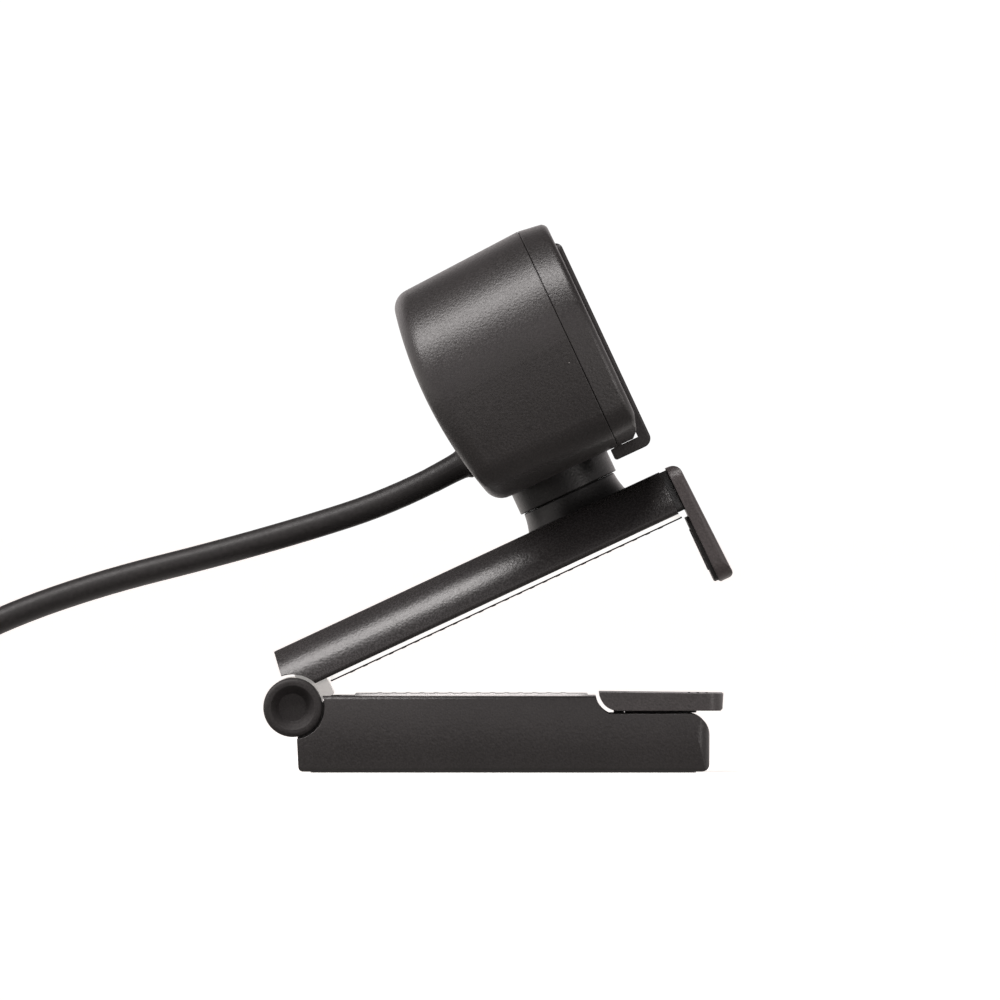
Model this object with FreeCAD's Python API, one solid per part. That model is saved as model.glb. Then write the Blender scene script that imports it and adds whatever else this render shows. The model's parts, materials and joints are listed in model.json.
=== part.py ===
import FreeCAD, Part

import math
import os

# Webcam on a folding two-jaw clip, in millimetres.  +X is where the lens looks,
# +Y is across the camera, +Z is up, and the clip's foot stands on Z = 0.
#
# The foot is drawn in "bench" coordinates: x from the hinge axis, y, z from the
# table.  Everything that the folding arm carries is drawn in "arm" coordinates:
# u along the arm from the hinge axis, y, n square to the arm.  place_foot and
# place_arm move both into the shared frame.

V = FreeCAD.Vector

# ---------------------------------------------------------------- driving sizes
HINGE_X = -34.82          # hinge axis from the middle of the whole object
HINGE_Z = 11.05           # hinge axis above the table
ARM_ANGLE = 25.0          # how far the arm stands open

FOOT_LENGTH = 70.6
FOOT_HALF = 20.0          # half of the foot's width
FOOT_TOP = 13.0
FOOT_SIDE_R = 30.0        # gentle bow of the foot's long sides
FOOT_EDGE_R = 0.8
FOOT_BAR_START = -2.0
SOLE_STEP = 0.2           # the rubber sole stands this far out of the shell
BARREL_R = 5.0            # hinge barrel and its end caps
FOOT_CUT_R = 5.4          # hollow in the foot's end that clears the barrel
ARM_CUT_R = 5.6           # hollow in the arm's end that clears the barrel
PIN_R = 1.5
RUN = 0.05                # radial running clearance

FLAP_X, FLAP_Z = 55.3, 12.8   # flap pivot
FLAP_HALF = 19.4
FLAP_SEAT_R = 4.1
FLAP_PIN_R = 0.4
FLAP_FRONT = 72.95
FLAP_PAD_START = 56.25

ARM_HALF = 19.0
ARM_SIDE_R = 10.65        # the arm's domed sides: one arc up to the flat top,
ARM_SIDE_N = 0.2          # about a line this far above the hinge axis
ARM_WALL = 1.6
ARM_LOW, ARM_HIGH = 2.1, 9.9
ARM_END = 73.1
LIP_FRONT = 74.4          # back face of the hook lip
LIP_TOP, LIP_BOTTOM = 10.05, -11.3
LIP_EDGE_R = 0.8
LIP_CORNER_R = 3.2

NECK_U = 57.75            # swivel axis along the arm
NECK_SEAM = 13.15
NECK_EDGE = 0.12          # small chamfers either side of the swivel seam
COLLAR_R = 8.9
BOLT_R = 3.0

HEAD_HALF = 47.0
HEAD_LOW = 16.9
HEAD_HIGH = 56.9
HEAD_REAR = 42.5
PARTING = 68.5
BEZEL_FRONT = 73.4
WALL = 1.8
SHOULDER_R = 20.0         # large rounding of the head's upper ends
SIDE_EXTRA_R = 50.0       # below it the ends bow on this much larger a radius
FLAT_HALF = 27.0          # flat middle of the head's underside
SEAM_WIDE, SEAM_DEEP = 0.16, 0.6      # fine groove round the head at the parting line

LENS_N = 37.0
PANEL_FACE = 72.25
SLIDER_BACK, SLIDER_FRONT = 72.4, 74.3
SLIDER_Y0, SLIDER_Y1 = -24.0, -8.0

CORD_D = 4.4
CORD_EXIT_U, CORD_EXIT_N = 43.8, 25.3
CORD_TILT = 3.0           # the outlet points this far below the arm's direction


# ---------------------------------------------------------------------- helpers
def box(x0, x1, y0, y1, z0, z1):
    return Part.makeBox(x1 - x0, y1 - y0, z1 - z0, V(x0, y0, z0))


def rod_x(y, z, r, x0, x1):
    return Part.makeCylinder(r, x1 - x0, V(x0, y, z), V(1, 0, 0))


def rod_y(x, z, r, y0, y1):
    return Part.makeCylinder(r, y1 - y0, V(x, y0, z), V(0, 1, 0))


def rod_z(x, y, r, z0, z1):
    return Part.makeCylinder(r, z1 - z0, V(x, y, z0), V(0, 0, 1))


def rounded_wire(corners, lift):
    """Closed outline from (a, b, radius) corners; lift turns (a, b) into a point."""
    edges = []
    starts = []
    ends = []
    count = len(corners)
    for i in range(count):
        a, b, r = corners[i]
        pa, pb, _ = corners[i - 1]
        na, nb, _ = corners[(i + 1) % count]
        into = V(a - pa, b - pb, 0).normalize()
        out = V(na - a, nb - b, 0).normalize()
        corner = V(a, b, 0)
        if r <= 0:
            starts.append(corner)
            ends.append(corner)
            continue
        half = into.getAngle(out) / 2
        back = r * math.tan(half)
        starts.append(corner - into * back)
        ends.append(corner + out * back)
    for i in range(count):
        a, b, r = corners[i]
        if r > 0:
            first, last = starts[i], ends[i]
            inward = (first + last) * 0.5 - V(a, b, 0)
            reach = inward.Length
            half = math.asin(min(1.0, (first - last).Length / 2 / r))
            centre_from_chord = r * math.cos(half)
            depth = r - centre_from_chord
            middle = (first + last) * 0.5 - inward * (depth / reach)
            edges.append(Part.Arc(lift(first), lift(middle), lift(last)).toShape())
        first, last = ends[i], starts[(i + 1) % count]
        if (last - first).Length > 1e-6:
            edges.append(Part.LineSegment(lift(first), lift(last)).toShape())
    return Part.Wire(edges)


def prism_y(corners, y0, y1):
    """Outline in the x-z plane, drawn out along y."""
    wire = rounded_wire(corners, lambda p: V(p.x, y0, p.y))
    return Part.Face(wire).extrude(V(0, y1 - y0, 0))


def prism_x(corners, x0, x1):
    """Outline in the y-z plane, drawn out along x."""
    wire = rounded_wire(corners, lambda p: V(x0, p.x, p.y))
    return Part.Face(wire).extrude(V(x1 - x0, 0, 0))


def prism_z(corners, z0, z1):
    """Outline in the x-y plane, drawn out along z."""
    wire = rounded_wire(corners, lambda p: V(p.x, p.y, z0))
    return Part.Face(wire).extrude(V(0, 0, z1 - z0))


def slab_z(x0, x1, half, radius, z0, z1):
    """Flat plate with rounded corners in plan."""
    corners = [(x0, -half, radius), (x1, -half, radius), (x1, half, radius), (x0, half, radius)]
    return prism_z(corners, z0, z1)


def arm_section(inset, low, high, edge_r, u0, u1):
    """Bar along u with the arm's domed section, shrunk all round by inset."""
    radius = ARM_SIDE_R - inset
    centre_y = ARM_HALF - ARM_SIDE_R
    middle = (low + high) / 2

    def p(side, n):
        reach = centre_y + math.sqrt(radius * radius - (n - ARM_SIDE_N) ** 2)
        return V(u0, side * reach, n)

    edges = [
        Part.LineSegment(p(-1, low), p(1, low)),
        Part.Arc(p(1, low), p(1, middle), p(1, high)),
        Part.LineSegment(p(1, high), p(-1, high)),
        Part.Arc(p(-1, high), p(-1, middle), p(-1, low)),
    ]
    wire = Part.Wire([edge.toShape() for edge in edges])
    bar = Part.Face(wire).extrude(V(u1 - u0, 0, 0))
    return soften(bar, edge_r, lambda edge: edge.BoundBox.XLength > 0.9 * (u1 - u0))


def turned(profile, x, y):
    """Solid of revolution about a vertical line; profile is (r, z) points."""
    points = [V(x + r, y, z) for r, z in profile]
    points.append(points[0])
    face = Part.Face(Part.makePolygon(points))
    return face.revolve(V(x, y, 0), V(0, 0, 1), 360)


def join(first, *others):
    result = first
    for other in others:
        result = result.fuse(other)
    return result.removeSplitter()


def cut(shape, *tools):
    for tool in tools:
        shape = shape.cut(tool)
    return shape


def soften(shape, radius, chosen):
    """Round the edges that chosen(edge) picks; keep the shape if that fails."""
    edges = [edge for edge in shape.Edges if chosen(edge)]
    try:
        result = shape.makeFillet(radius, edges)
    except Exception as problem:
        print("edge rounding kept sharp:", radius, problem)
        return shape
    if result.isValid() and result.Volume > 0.5 * shape.Volume:
        return result
    print("edge rounding kept sharp:", radius, len(edges))
    return shape


def both_sides(shape):
    """The shape and its mirror image across y = 0, as separate solids."""
    other = shape.mirror(V(0, 0, 0), V(0, 1, 0))
    return Part.makeCompound([shape, other])


ARM_PLACE = FreeCAD.Placement(V(HINGE_X, 0, HINGE_Z), FreeCAD.Rotation(V(0, 1, 0), -ARM_ANGLE))
FOOT_PLACE = FreeCAD.Placement(V(HINGE_X, 0, 0), FreeCAD.Rotation())


def save(name, shape, place):
    shape = shape.copy()
    shape.Placement = place.multiply(shape.Placement)
    shape.exportStep("parts/" + name + ".step")
    solids = shape.Solids
    if not shape.isValid() or any(solid.Volume <= 0 for solid in solids):
        print("bad solid in", name)


def save_foot(name, shape):
    save(name, shape, FOOT_PLACE)


def save_arm(name, shape):
    save(name, shape, ARM_PLACE)


def screw(x, y, z_head, z_tip, head_r, shank_r, head_h):
    """Pan-head screw, head down, with a cross recess cut into the head."""
    head = rod_z(x, y, head_r, z_head, z_head + head_h)
    shank = rod_z(x, y, shank_r, z_head + head_h, z_tip)
    arm = head_r * 0.6
    slot = head_r * 0.16
    cross_a = box(x - arm, x + arm, y - slot, y + slot, z_head, z_head + head_h * 0.5)
    cross_b = box(x - slot, x + slot, y - arm, y + arm, z_head, z_head + head_h * 0.5)
    return cut(join(head, shank), cross_a, cross_b)


# ------------------------------------------------------------------------- foot
FOOT_SCREWS = [(14.0, 13.5), (14.0, -13.5), (63.0, 13.5), (63.0, -13.5)]
FOOT_SCREW_R = 1.1
INSERT_X = 36.0
INSERT_R = 4.3
THREAD_R = 2.6            # bore of the quarter-inch camera thread
INSERT_TOP = 8.2
PLATE_TOP = 1.8
SOLE_TOP = 0.8
LUG_HALF = 8.7            # arm knuckle
EAR_IN, EAR_OUT = 9.4, 17.6
FLAP_LUGS = [(-12.0, -8.0), (8.0, 12.0)]
FLAP_FLOOR = 10.0


def foot_bar():
    """Bar along x whose sides bow out a little between rounded long edges."""
    middle = (SOLE_STEP + FOOT_TOP) / 2
    bow = (FOOT_TOP - SOLE_STEP) ** 2 / (8 * FOOT_SIDE_R)
    half = FOOT_HALF - bow

    def p(y, z):
        return V(FOOT_BAR_START, y, z)

    edges = [
        Part.LineSegment(p(-half, SOLE_STEP), p(half, SOLE_STEP)),
        Part.Arc(p(half, SOLE_STEP), p(FOOT_HALF, middle), p(half, FOOT_TOP)),
        Part.LineSegment(p(half, FOOT_TOP), p(-half, FOOT_TOP)),
        Part.Arc(p(-half, FOOT_TOP), p(-FOOT_HALF, middle), p(-half, SOLE_STEP)),
    ]
    wire = Part.Wire([edge.toShape() for edge in edges])
    bar = Part.Face(wire).extrude(V(FOOT_LENGTH + 10, 0, 0))

    def long_edge(edge):
        bound = edge.BoundBox
        return bound.XLength > FOOT_LENGTH and abs(bound.Center.y) > half - 0.1

    return soften(bar, FOOT_EDGE_R, long_edge)


def foot_outer():
    outline = [
        (0.95, SOLE_STEP, 0.8),
        (FOOT_LENGTH, SOLE_STEP, 1.3),
        (FOOT_LENGTH, FLAP_FLOOR, 3.6),
        (55.4, FLAP_FLOOR, 0),
        (55.4, FOOT_TOP, 0),
        (0.4, FOOT_TOP, 0),
    ]
    body = prism_y(outline, -FOOT_HALF, FOOT_HALF)
    plan = slab_z(-2.0, FOOT_LENGTH, FOOT_HALF, 2.2, 0, FOOT_TOP + 1)
    body = body.common(plan).common(foot_bar())
    seat = rod_y(55.4, 13.7, FLAP_SEAT_R, -FOOT_HALF - 1, FOOT_HALF + 1)
    seat = seat.common(box(50, 60, -FOOT_HALF - 1, FOOT_HALF + 1, FLAP_FLOOR, 20))
    barrel_room = rod_y(0, HINGE_Z, FOOT_CUT_R, -FOOT_HALF - 1, FOOT_HALF + 1)
    return cut(body, seat, barrel_room)


def foot_shell():
    shell = foot_outer()
    inner = FOOT_HALF - WALL
    deep = box(9.8, 50.0, -inner, inner, 0, FOOT_TOP - WALL)
    shallow = box(49.0, FOOT_LENGTH - 2.0, -inner, inner, 0, FLAP_FLOOR - WALL)
    plate_room = box(7.0, FOOT_LENGTH - 2.0, -inner, inner, 0, PLATE_TOP)
    sole_room = slab_z(3.0, 68.3, 17.5, 2.0, 0, SOLE_TOP)
    lug_room = box(-1, 8.1, -LUG_HALF - 0.4, LUG_HALF + 0.4, 10.7, 15)
    shell = cut(shell, deep, shallow, plate_room, sole_room, lug_room)
    for x, y in FOOT_SCREWS:
        roof = FOOT_TOP - WALL if x < 49 else FLAP_FLOOR - WALL
        boss = rod_z(x, y, 2.6, PLATE_TOP, roof + 0.5)
        shell = join(shell, boss)
        shell = cut(shell, rod_z(x, y, FOOT_SCREW_R, 0, 8.0))
    for y0, y1 in ((EAR_IN, EAR_OUT), (-EAR_OUT, -EAR_IN)):
        ear = rod_y(0, HINGE_Z, BARREL_R, y0, y1)
        web = rod_y(0, HINGE_Z, ARM_CUT_R, y0, y1).common(box(0.8, 8, y0, y1, 0, HINGE_Z + 0.9))
        shell = join(shell, ear, web)
    shell = cut(shell, rod_y(0, HINGE_Z, PIN_R, -FOOT_HALF, FOOT_HALF))
    for y0, y1 in FLAP_LUGS:
        lug = box(FLAP_X - 0.85, FLAP_X + 0.85, y0, y1, FLAP_FLOOR - 0.5, FLAP_Z)
        eye = rod_y(FLAP_X, FLAP_Z, 0.85, y0, y1)
        shell = join(shell, lug, eye)
    shell = cut(shell, rod_y(FLAP_X, FLAP_Z, FLAP_PIN_R + RUN, -13, 13))
    return shell


def foot_base_plate():
    inner = FOOT_HALF - WALL
    plate = box(7.0, FOOT_LENGTH - 2.0, -inner, inner, SOLE_STEP, PLATE_TOP)
    boss = rod_z(INSERT_X, 0, INSERT_R + 1.6, PLATE_TOP, INSERT_TOP)
    ribs = [
        box(20.0, 52.0, y - 0.6, y + 0.6, PLATE_TOP, 4.5) for y in (-8.0, 8.0)
    ]
    plate = join(plate, boss, *ribs)
    plate = cut(plate, slab_z(3.0, 68.3, 17.5, 2.0, 0, SOLE_TOP))
    plate = cut(plate, rod_z(INSERT_X, 0, INSERT_R, 0, INSERT_TOP + 1))
    for x, y in FOOT_SCREWS:
        plate = cut(plate, rod_z(x, y, FOOT_SCREW_R, 0, PLATE_TOP + 1))
    return plate


def sole():
    pad = slab_z(3.0, 68.3, 17.5, 2.0, 0, SOLE_TOP)
    pad = cut(pad, rod_z(INSERT_X, 0, INSERT_R + 0.7, -1, 2))
    for x, y in FOOT_SCREWS:
        pad = cut(pad, rod_z(x, y, 2.3, -1, 2))
    return pad


def tripod_insert():
    body = rod_z(INSERT_X, 0, INSERT_R, 0.5, INSERT_TOP)
    flange = rod_z(INSERT_X, 0, INSERT_R, 0.4, 0.9)
    return cut(join(body, flange), rod_z(INSERT_X, 0, THREAD_R, 0, INSERT_TOP + 1))


def foot_screws():
    parts = []
    for x, y in FOOT_SCREWS:
        head = rod_z(x, y, 2.2, 0.25, SOLE_TOP)
        shank = rod_z(x, y, FOOT_SCREW_R, SOLE_TOP, 7.5)
        cross = box(x - 1.3, x + 1.3, y - 0.3, y + 0.3, 0, 0.6)
        cross_b = box(x - 0.3, x + 0.3, y - 1.3, y + 1.3, 0, 0.6)
        parts.append(cut(join(head, shank), cross, cross_b))
    return Part.makeCompound(parts)


def foot_pad():
    pad = slab_z(10.5, 50.0, 15.5, 2.0, FOOT_TOP, FOOT_TOP + 0.45)
    return pad


# ------------------------------------------------------------------------ hinge
def hinge_pin():
    return rod_y(0, HINGE_Z, PIN_R, -EAR_OUT, EAR_OUT)


def hinge_washers():
    ring = rod_y(0, HINGE_Z, 4.3, LUG_HALF + 0.05, EAR_IN - 0.05)
    return both_sides(cut(ring, rod_y(0, HINGE_Z, PIN_R + RUN, 0, FOOT_HALF)))


def hinge_caps():
    """End cap with a rounded rim and a dished, flat-bottomed recess."""
    outer = 20.1
    rim = 0.8
    floor = 18.2
    profile = [
        V(0, EAR_OUT, 0), V(BARREL_R, EAR_OUT, 0), V(BARREL_R, outer - rim, 0),
        V(BARREL_R - rim, outer, 0), V(3.75, outer, 0), V(3.45, outer - 0.35, 0),
        V(2.35, floor, 0), V(0, floor, 0),
    ]
    bulge = V(BARREL_R - rim * (1 - math.sqrt(0.5)), outer - rim * (1 - math.sqrt(0.5)), 0)
    edges = []
    for i in range(len(profile)):
        first, last = profile[i], profile[(i + 1) % len(profile)]
        if i == 2:
            edges.append(Part.Arc(first, bulge, last).toShape())
        else:
            edges.append(Part.LineSegment(first, last).toShape())
    cap = Part.Face(Part.Wire(edges)).revolve(V(0, 0, 0), V(0, 1, 0), 360)
    cap.translate(V(0, 0, HINGE_Z))
    return both_sides(cap)


def hinge_knuckle():
    """Cast friction leaf: barrel, stop lug and the tongue that runs into the arm."""
    barrel = rod_y(0, 0, BARREL_R, -LUG_HALF, LUG_HALF)
    web = prism_y([(2.5, -0.9, 0), (7.3, -0.9, 0.3), (7.3, 2.2, 0), (8.0, 3.7, 0),
                   (19.5, 3.7, 0), (19.5, 6.0, 0.5), (2.5, 6.0, 0)], -LUG_HALF, LUG_HALF)
    leaf = join(barrel, web)
    leaf = cut(leaf, rod_y(0, 0, PIN_R + RUN, -LUG_HALF - 1, LUG_HALF + 1))
    for y in (-5.0, 5.0):
        leaf = cut(leaf, rod_z(14.0, y, 0.9, 3, 7))
    return leaf


# ------------------------------------------------------------------------- flap
def flap():
    heel = 3.2
    front = FLAP_FRONT
    top_rear, top_front = 13.66, 13.42
    low = 10.5
    start = V(FLAP_X - 0.15 - heel, -FLAP_HALF, top_rear)
    turn = V(FLAP_X - 0.15, -FLAP_HALF, low)
    middle = V(FLAP_X - 0.15 - heel * math.sqrt(0.5), -FLAP_HALF, top_rear - heel * math.sqrt(0.5))
    edges = [
        Part.Arc(start, middle, turn).toShape(),
        Part.LineSegment(turn, V(front - 0.5, turn.y, low)).toShape(),
        Part.LineSegment(V(front - 0.5, turn.y, low), V(front - 0.15, turn.y, low + 0.35)).toShape(),
        Part.LineSegment(V(front - 0.15, turn.y, low + 0.35), V(front, turn.y, top_front)).toShape(),
        Part.LineSegment(V(front, turn.y, top_front), start).toShape(),
    ]
    body = Part.Face(Part.Wire(edges)).extrude(V(0, 2 * FLAP_HALF, 0))
    plan = prism_z([(40, -FLAP_HALF, 0), (front, -FLAP_HALF, 2.8),
                    (front, FLAP_HALF, 2.8), (40, FLAP_HALF, 0)], 5, 20)
    body = body.common(plan)
    for y0, y1 in FLAP_LUGS:
        room = box(50, FLAP_X + 1.3, y0 - 0.25, y1 + 0.25, 5, 20)
        body = cut(body, room)
    body = cut(body, rod_y(FLAP_X, FLAP_Z, FLAP_PIN_R, -13, 13))
    grip = [box(x, x + 0.5, -12, 12, 13.3, 14) for x in (67.0, 68.5, 70.0)]
    return cut(body, *grip)


def flap_pad():
    return slab_z(FLAP_PAD_START, 68.4, 15.0, 1.0, FLAP_FLOOR + 0.06, 10.5)


def flap_pin():
    return rod_y(FLAP_X, FLAP_Z, FLAP_PIN_R, -13, 13)


# -------------------------------------------------------------------------- arm
ARM_SCREWS = [(14.0, 5.0), (14.0, -5.0), (34.0, 0.0), (69.0, 9.0), (69.0, -9.0)]
PLATE_HIGH = 3.7
COVER_ROOF = 8.3


def arm_cover():
    bar = arm_section(0, ARM_LOW, ARM_HIGH, 0.7, 0, ARM_END)
    end_slope = prism_y([(-5, 0, 0), (-0.3, 0, 0), (1.05, 9.95, 0.6), (1.4, 12, 0), (-5, 12, 0)], -25, 25)
    barrel_room = rod_y(0, 0, ARM_CUT_R, -25, 25)
    cavity = arm_section(ARM_WALL, PLATE_HIGH - 1.6, COVER_ROOF, 0.3, 8.2, ARM_END + 1)
    cavity = cavity.common(box(8.2, ARM_END + 1, -ARM_HALF, ARM_HALF, PLATE_HIGH, COVER_ROOF))
    mouth = box(8.2, ARM_END + 1, -14, 14, 0, PLATE_HIGH + 0.5)
    leaf_room = box(-2, 9, -LUG_HALF - 0.1, LUG_HALF + 0.1, 0, 6.1)
    bar = cut(bar, end_slope, barrel_room, cavity, mouth, leaf_room)
    for u, y in ARM_SCREWS[2:]:
        boss = rod_z(u, y, 2.3, PLATE_HIGH, COVER_ROOF + 0.5)
        bar = join(bar, boss)
        bar = cut(bar, rod_z(u, y, 0.9, PLATE_HIGH - 1, 7.6))
    return cut(bar, rod_z(NECK_U, 0, BOLT_R, 0, 12))


def arm_frame():
    plate = box(8.2, ARM_END, -14, 14, ARM_LOW, PLATE_HIGH)
    rim = arm_section(0.3, ARM_LOW + 0.25, ARM_HIGH - 0.2, 0.6, ARM_END, LIP_FRONT)
    tongue = box(71.4, ARM_END, -10.5, 10.5, PLATE_HIGH, COVER_ROOF)
    ribs = [box(22, 30, y, y + 1.4, PLATE_HIGH, COVER_ROOF) for y in (-10.7, 9.3)]
    ribs += [box(38, 50, y, y + 1.4, PLATE_HIGH, COVER_ROOF) for y in (-10.7, 9.3)]
    frame = join(plate, rim, tongue, *ribs)
    for u, y in ARM_SCREWS:
        frame = cut(frame, rod_z(u, y, 0.9, 0, PLATE_HIGH + 1))
        frame = cut(frame, rod_z(u, y, 1.7, 0, ARM_LOW + 0.9))
    frame = cut(frame, rod_z(NECK_U, 0, 4.9, 0, PLATE_HIGH + 1))
    return frame


def arm_screws():
    parts = []
    for u, y in ARM_SCREWS:
        tip = 6.0 if u < 20 else 7.4
        parts.append(screw(u, y, ARM_LOW + 0.05, tip, 1.7, 0.9, 0.85))
    return Part.makeCompound(parts)


def arm_pad_tape():
    return slab_z(7.9, 73.2, 15.2, 1.5, 1.45, ARM_LOW)


def arm_pad():
    return slab_z(7.7, 73.4, 15.3, 1.5, 1.13, 1.45)


def hook_lip():
    """Front lip: leans forward downwards, with rounded corners and front edges."""
    top, bottom = LIP_TOP, LIP_BOTTOM
    top_front, bottom_front = 76.6, 77.3
    outline = [(LIP_FRONT, top, 0), (top_front, top, 1.7), (bottom_front, bottom, 0.9), (74.6, bottom, 0.3)]
    lip = prism_y(outline, -ARM_HALF, ARM_HALF)
    face = prism_x([(y, n, LIP_CORNER_R) for y, n in
                    ((-ARM_HALF, bottom), (ARM_HALF, bottom), (ARM_HALF, top), (-ARM_HALF, top))], 70, 80)
    plan = rounded_wire([(70, -ARM_HALF, 0), (bottom_front, -ARM_HALF, LIP_EDGE_R),
                         (bottom_front, ARM_HALF, LIP_EDGE_R), (70, ARM_HALF, 0)],
                        lambda p: V(p.x, p.y, bottom))
    up = V(top_front - bottom_front, 0, top - bottom)
    return lip.common(face).common(Part.Face(plan).extrude(up))


def hook_pad():
    outline = [(LIP_FRONT + 0.08, 1.05, 0), (LIP_FRONT + 0.195, -10.9, 0),
               (73.78, -10.9, 0.2), (73.7, 1.05, 0.2)]
    pad = prism_y(outline, -16.4, 16.4)
    plan = prism_x([(-16.4, -10.9, 1.8), (16.4, -10.9, 1.8), (16.4, 1.05, 0), (-16.4, 1.05, 0)], 70, 80)
    return pad.common(plan)


# ----------------------------------------------------------------- swivel neck
def neck_base():
    low_r, high_r = 9.0, 8.38
    top = NECK_SEAM - 0.05
    foot_point = V(NECK_U + low_r, 0, ARM_HIGH)
    waist = V(NECK_U + 8.62, 0, 11.3)
    high_point = V(NECK_U + high_r, 0, top - NECK_EDGE)
    lip_point = V(NECK_U + high_r - NECK_EDGE, 0, top)
    inner_low = V(NECK_U + BOLT_R, 0, ARM_HIGH)
    inner_high = V(NECK_U + BOLT_R, 0, top)
    edges = [
        Part.LineSegment(inner_low, foot_point).toShape(),
        Part.Arc(foot_point, waist, high_point).toShape(),
        Part.LineSegment(high_point, lip_point).toShape(),
        Part.LineSegment(lip_point, inner_high).toShape(),
        Part.LineSegment(inner_high, inner_low).toShape(),
    ]
    face = Part.Face(Part.Wire(edges))
    return face.revolve(V(NECK_U, 0, 0), V(0, 0, 1), 360)


COLLAR_FLOOR = 15.7


def neck_collar():
    low = NECK_SEAM + 0.05
    profile = [
        (BOLT_R + RUN, low), (COLLAR_R - NECK_EDGE, low), (COLLAR_R, low + NECK_EDGE),
        (COLLAR_R, HEAD_LOW + WALL), (10.2, HEAD_LOW + WALL), (10.2, 20.2), (6.6, 20.2),
        (6.6, COLLAR_FLOOR), (BOLT_R + RUN, COLLAR_FLOOR),
    ]
    return turned(profile, NECK_U, 0)


def swivel_bolt():
    head = rod_z(NECK_U, 0, 4.6, 6.6, COVER_ROOF)
    shank = rod_z(NECK_U, 0, BOLT_R, COVER_ROOF, 19.4)
    slot = box(NECK_U - 3.5, NECK_U + 3.5, -0.6, 0.6, 6.0, 7.4)
    return cut(join(head, shank), slot)


def swivel_washer():
    ring = rod_z(NECK_U, 0, 5.9, COLLAR_FLOOR + 0.05, COLLAR_FLOOR + 0.6)
    return cut(ring, rod_z(NECK_U, 0, BOLT_R, 10, 20))


def swivel_nut():
    low, high = COLLAR_FLOOR + 0.6, 18.9
    corner = 4.6
    points = []
    for i in range(6):
        angle = math.radians(60 * i + 30)
        points.append((NECK_U + corner * math.cos(angle), corner * math.sin(angle), 0.3))
    return cut(prism_z(points, low, high), rod_z(NECK_U, 0, BOLT_R, 10, 20))


# ------------------------------------------------------------------------- head
def head_section(u, half, low, edge, high, shoulder):
    """Closed outline across the head at u: bowed underside and ends, round shoulders."""
    side_r = shoulder + SIDE_EXTRA_R
    side_n = high - shoulder
    side_y = half - side_r

    def side(n):
        return side_y + math.sqrt(side_r * side_r - (side_n - n) ** 2)

    edge_y = side(edge)
    side_mid = (edge + side_n) / 2
    drop = edge - low
    run = edge_y - FLAT_HALF
    bow_r = (run * run + drop * drop) / (2 * drop)
    half_turn = math.asin(run / bow_r) / 2
    bow_y = FLAT_HALF + bow_r * math.sin(half_turn)
    bow_n = low + bow_r * (1 - math.cos(half_turn))
    tuck = shoulder * (1 - math.sqrt(0.5))

    def p(y, n):
        return V(u, y, n)

    edges = [
        Part.LineSegment(p(-FLAT_HALF, low), p(FLAT_HALF, low)),
        Part.Arc(p(FLAT_HALF, low), p(bow_y, bow_n), p(edge_y, edge)),
        Part.Arc(p(edge_y, edge), p(side(side_mid), side_mid), p(half, side_n)),
        Part.Arc(p(half, high - shoulder), p(half - tuck, high - tuck), p(half - shoulder, high)),
        Part.LineSegment(p(half - shoulder, high), p(shoulder - half, high)),
        Part.Arc(p(shoulder - half, high), p(tuck - half, high - tuck), p(-half, high - shoulder)),
        Part.Arc(p(-half, side_n), p(-side(side_mid), side_mid), p(-edge_y, edge)),
        Part.Arc(p(-edge_y, edge), p(-bow_y, bow_n), p(-FLAT_HALF, low)),
    ]
    return Part.Wire([edge_.toShape() for edge_ in edges])


def rear_block(inset):
    """Head behind the parting line; inset shrinks it all round for the hollow."""
    slope = 0.048

    def section(u):
        behind = PARTING - u
        edge = 19.3 + behind * 0.05
        high = HEAD_HIGH - behind * slope
        half = HEAD_HALF - behind * 0.02
        return head_section(u, half - inset, HEAD_LOW + inset, edge + inset, high - inset,
                            SHOULDER_R - inset)

    body = Part.makeLoft([section(36.0), section(PARTING)], True, True)
    apex_n = 38.7
    reach = 22.0
    sag = reach * reach / (2 * 70.0)
    rear = HEAD_REAR + inset
    back = Part.Wire([
        Part.Arc(V(rear + sag, -60, apex_n + reach), V(rear, -60, apex_n),
                 V(rear + sag, -60, apex_n - reach)).toShape(),
        Part.LineSegment(V(rear + sag, -60, apex_n - reach), V(80, -60, apex_n - reach)).toShape(),
        Part.LineSegment(V(80, -60, apex_n - reach), V(80, -60, apex_n + reach)).toShape(),
        Part.LineSegment(V(80, -60, apex_n + reach), V(rear + sag, -60, apex_n + reach)).toShape(),
    ])
    return body.common(Part.Face(back).extrude(V(0, 120, 0)))


HEAD_EDGE_R = 6.0         # rounding along the head's lower edges


def along_lower_edges(edge):
    """The long edges between the underside and the ends."""
    bound = edge.BoundBox
    return bound.XLength > 3 and abs(bound.Center.y) > 40 and bound.ZMax < 22


SHELL_SCREWS = [(38.0, 27.5), (-38.0, 27.5), (34.0, 49.0), (-34.0, 49.0)]
GROOVE_U0, GROOVE_U1, GROOVE_N = 67.85, 69.55, 17.7
GROOVE_Y0, GROOVE_Y1 = -26.0, 10.0


def groove():
    return box(GROOVE_U0, GROOVE_U1, GROOVE_Y0, GROOVE_Y1, 10, GROOVE_N)


def cord_outlet(radius, back, front):
    """Round bar along the cord's outlet; back and front count from the rear wall."""
    tilt = math.radians(CORD_TILT)
    way = V(-math.cos(tilt), 0, -math.sin(tilt))
    start = V(CORD_EXIT_U, 0, CORD_EXIT_N) + way * back
    return Part.makeCylinder(radius, front - back, start, way)


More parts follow.
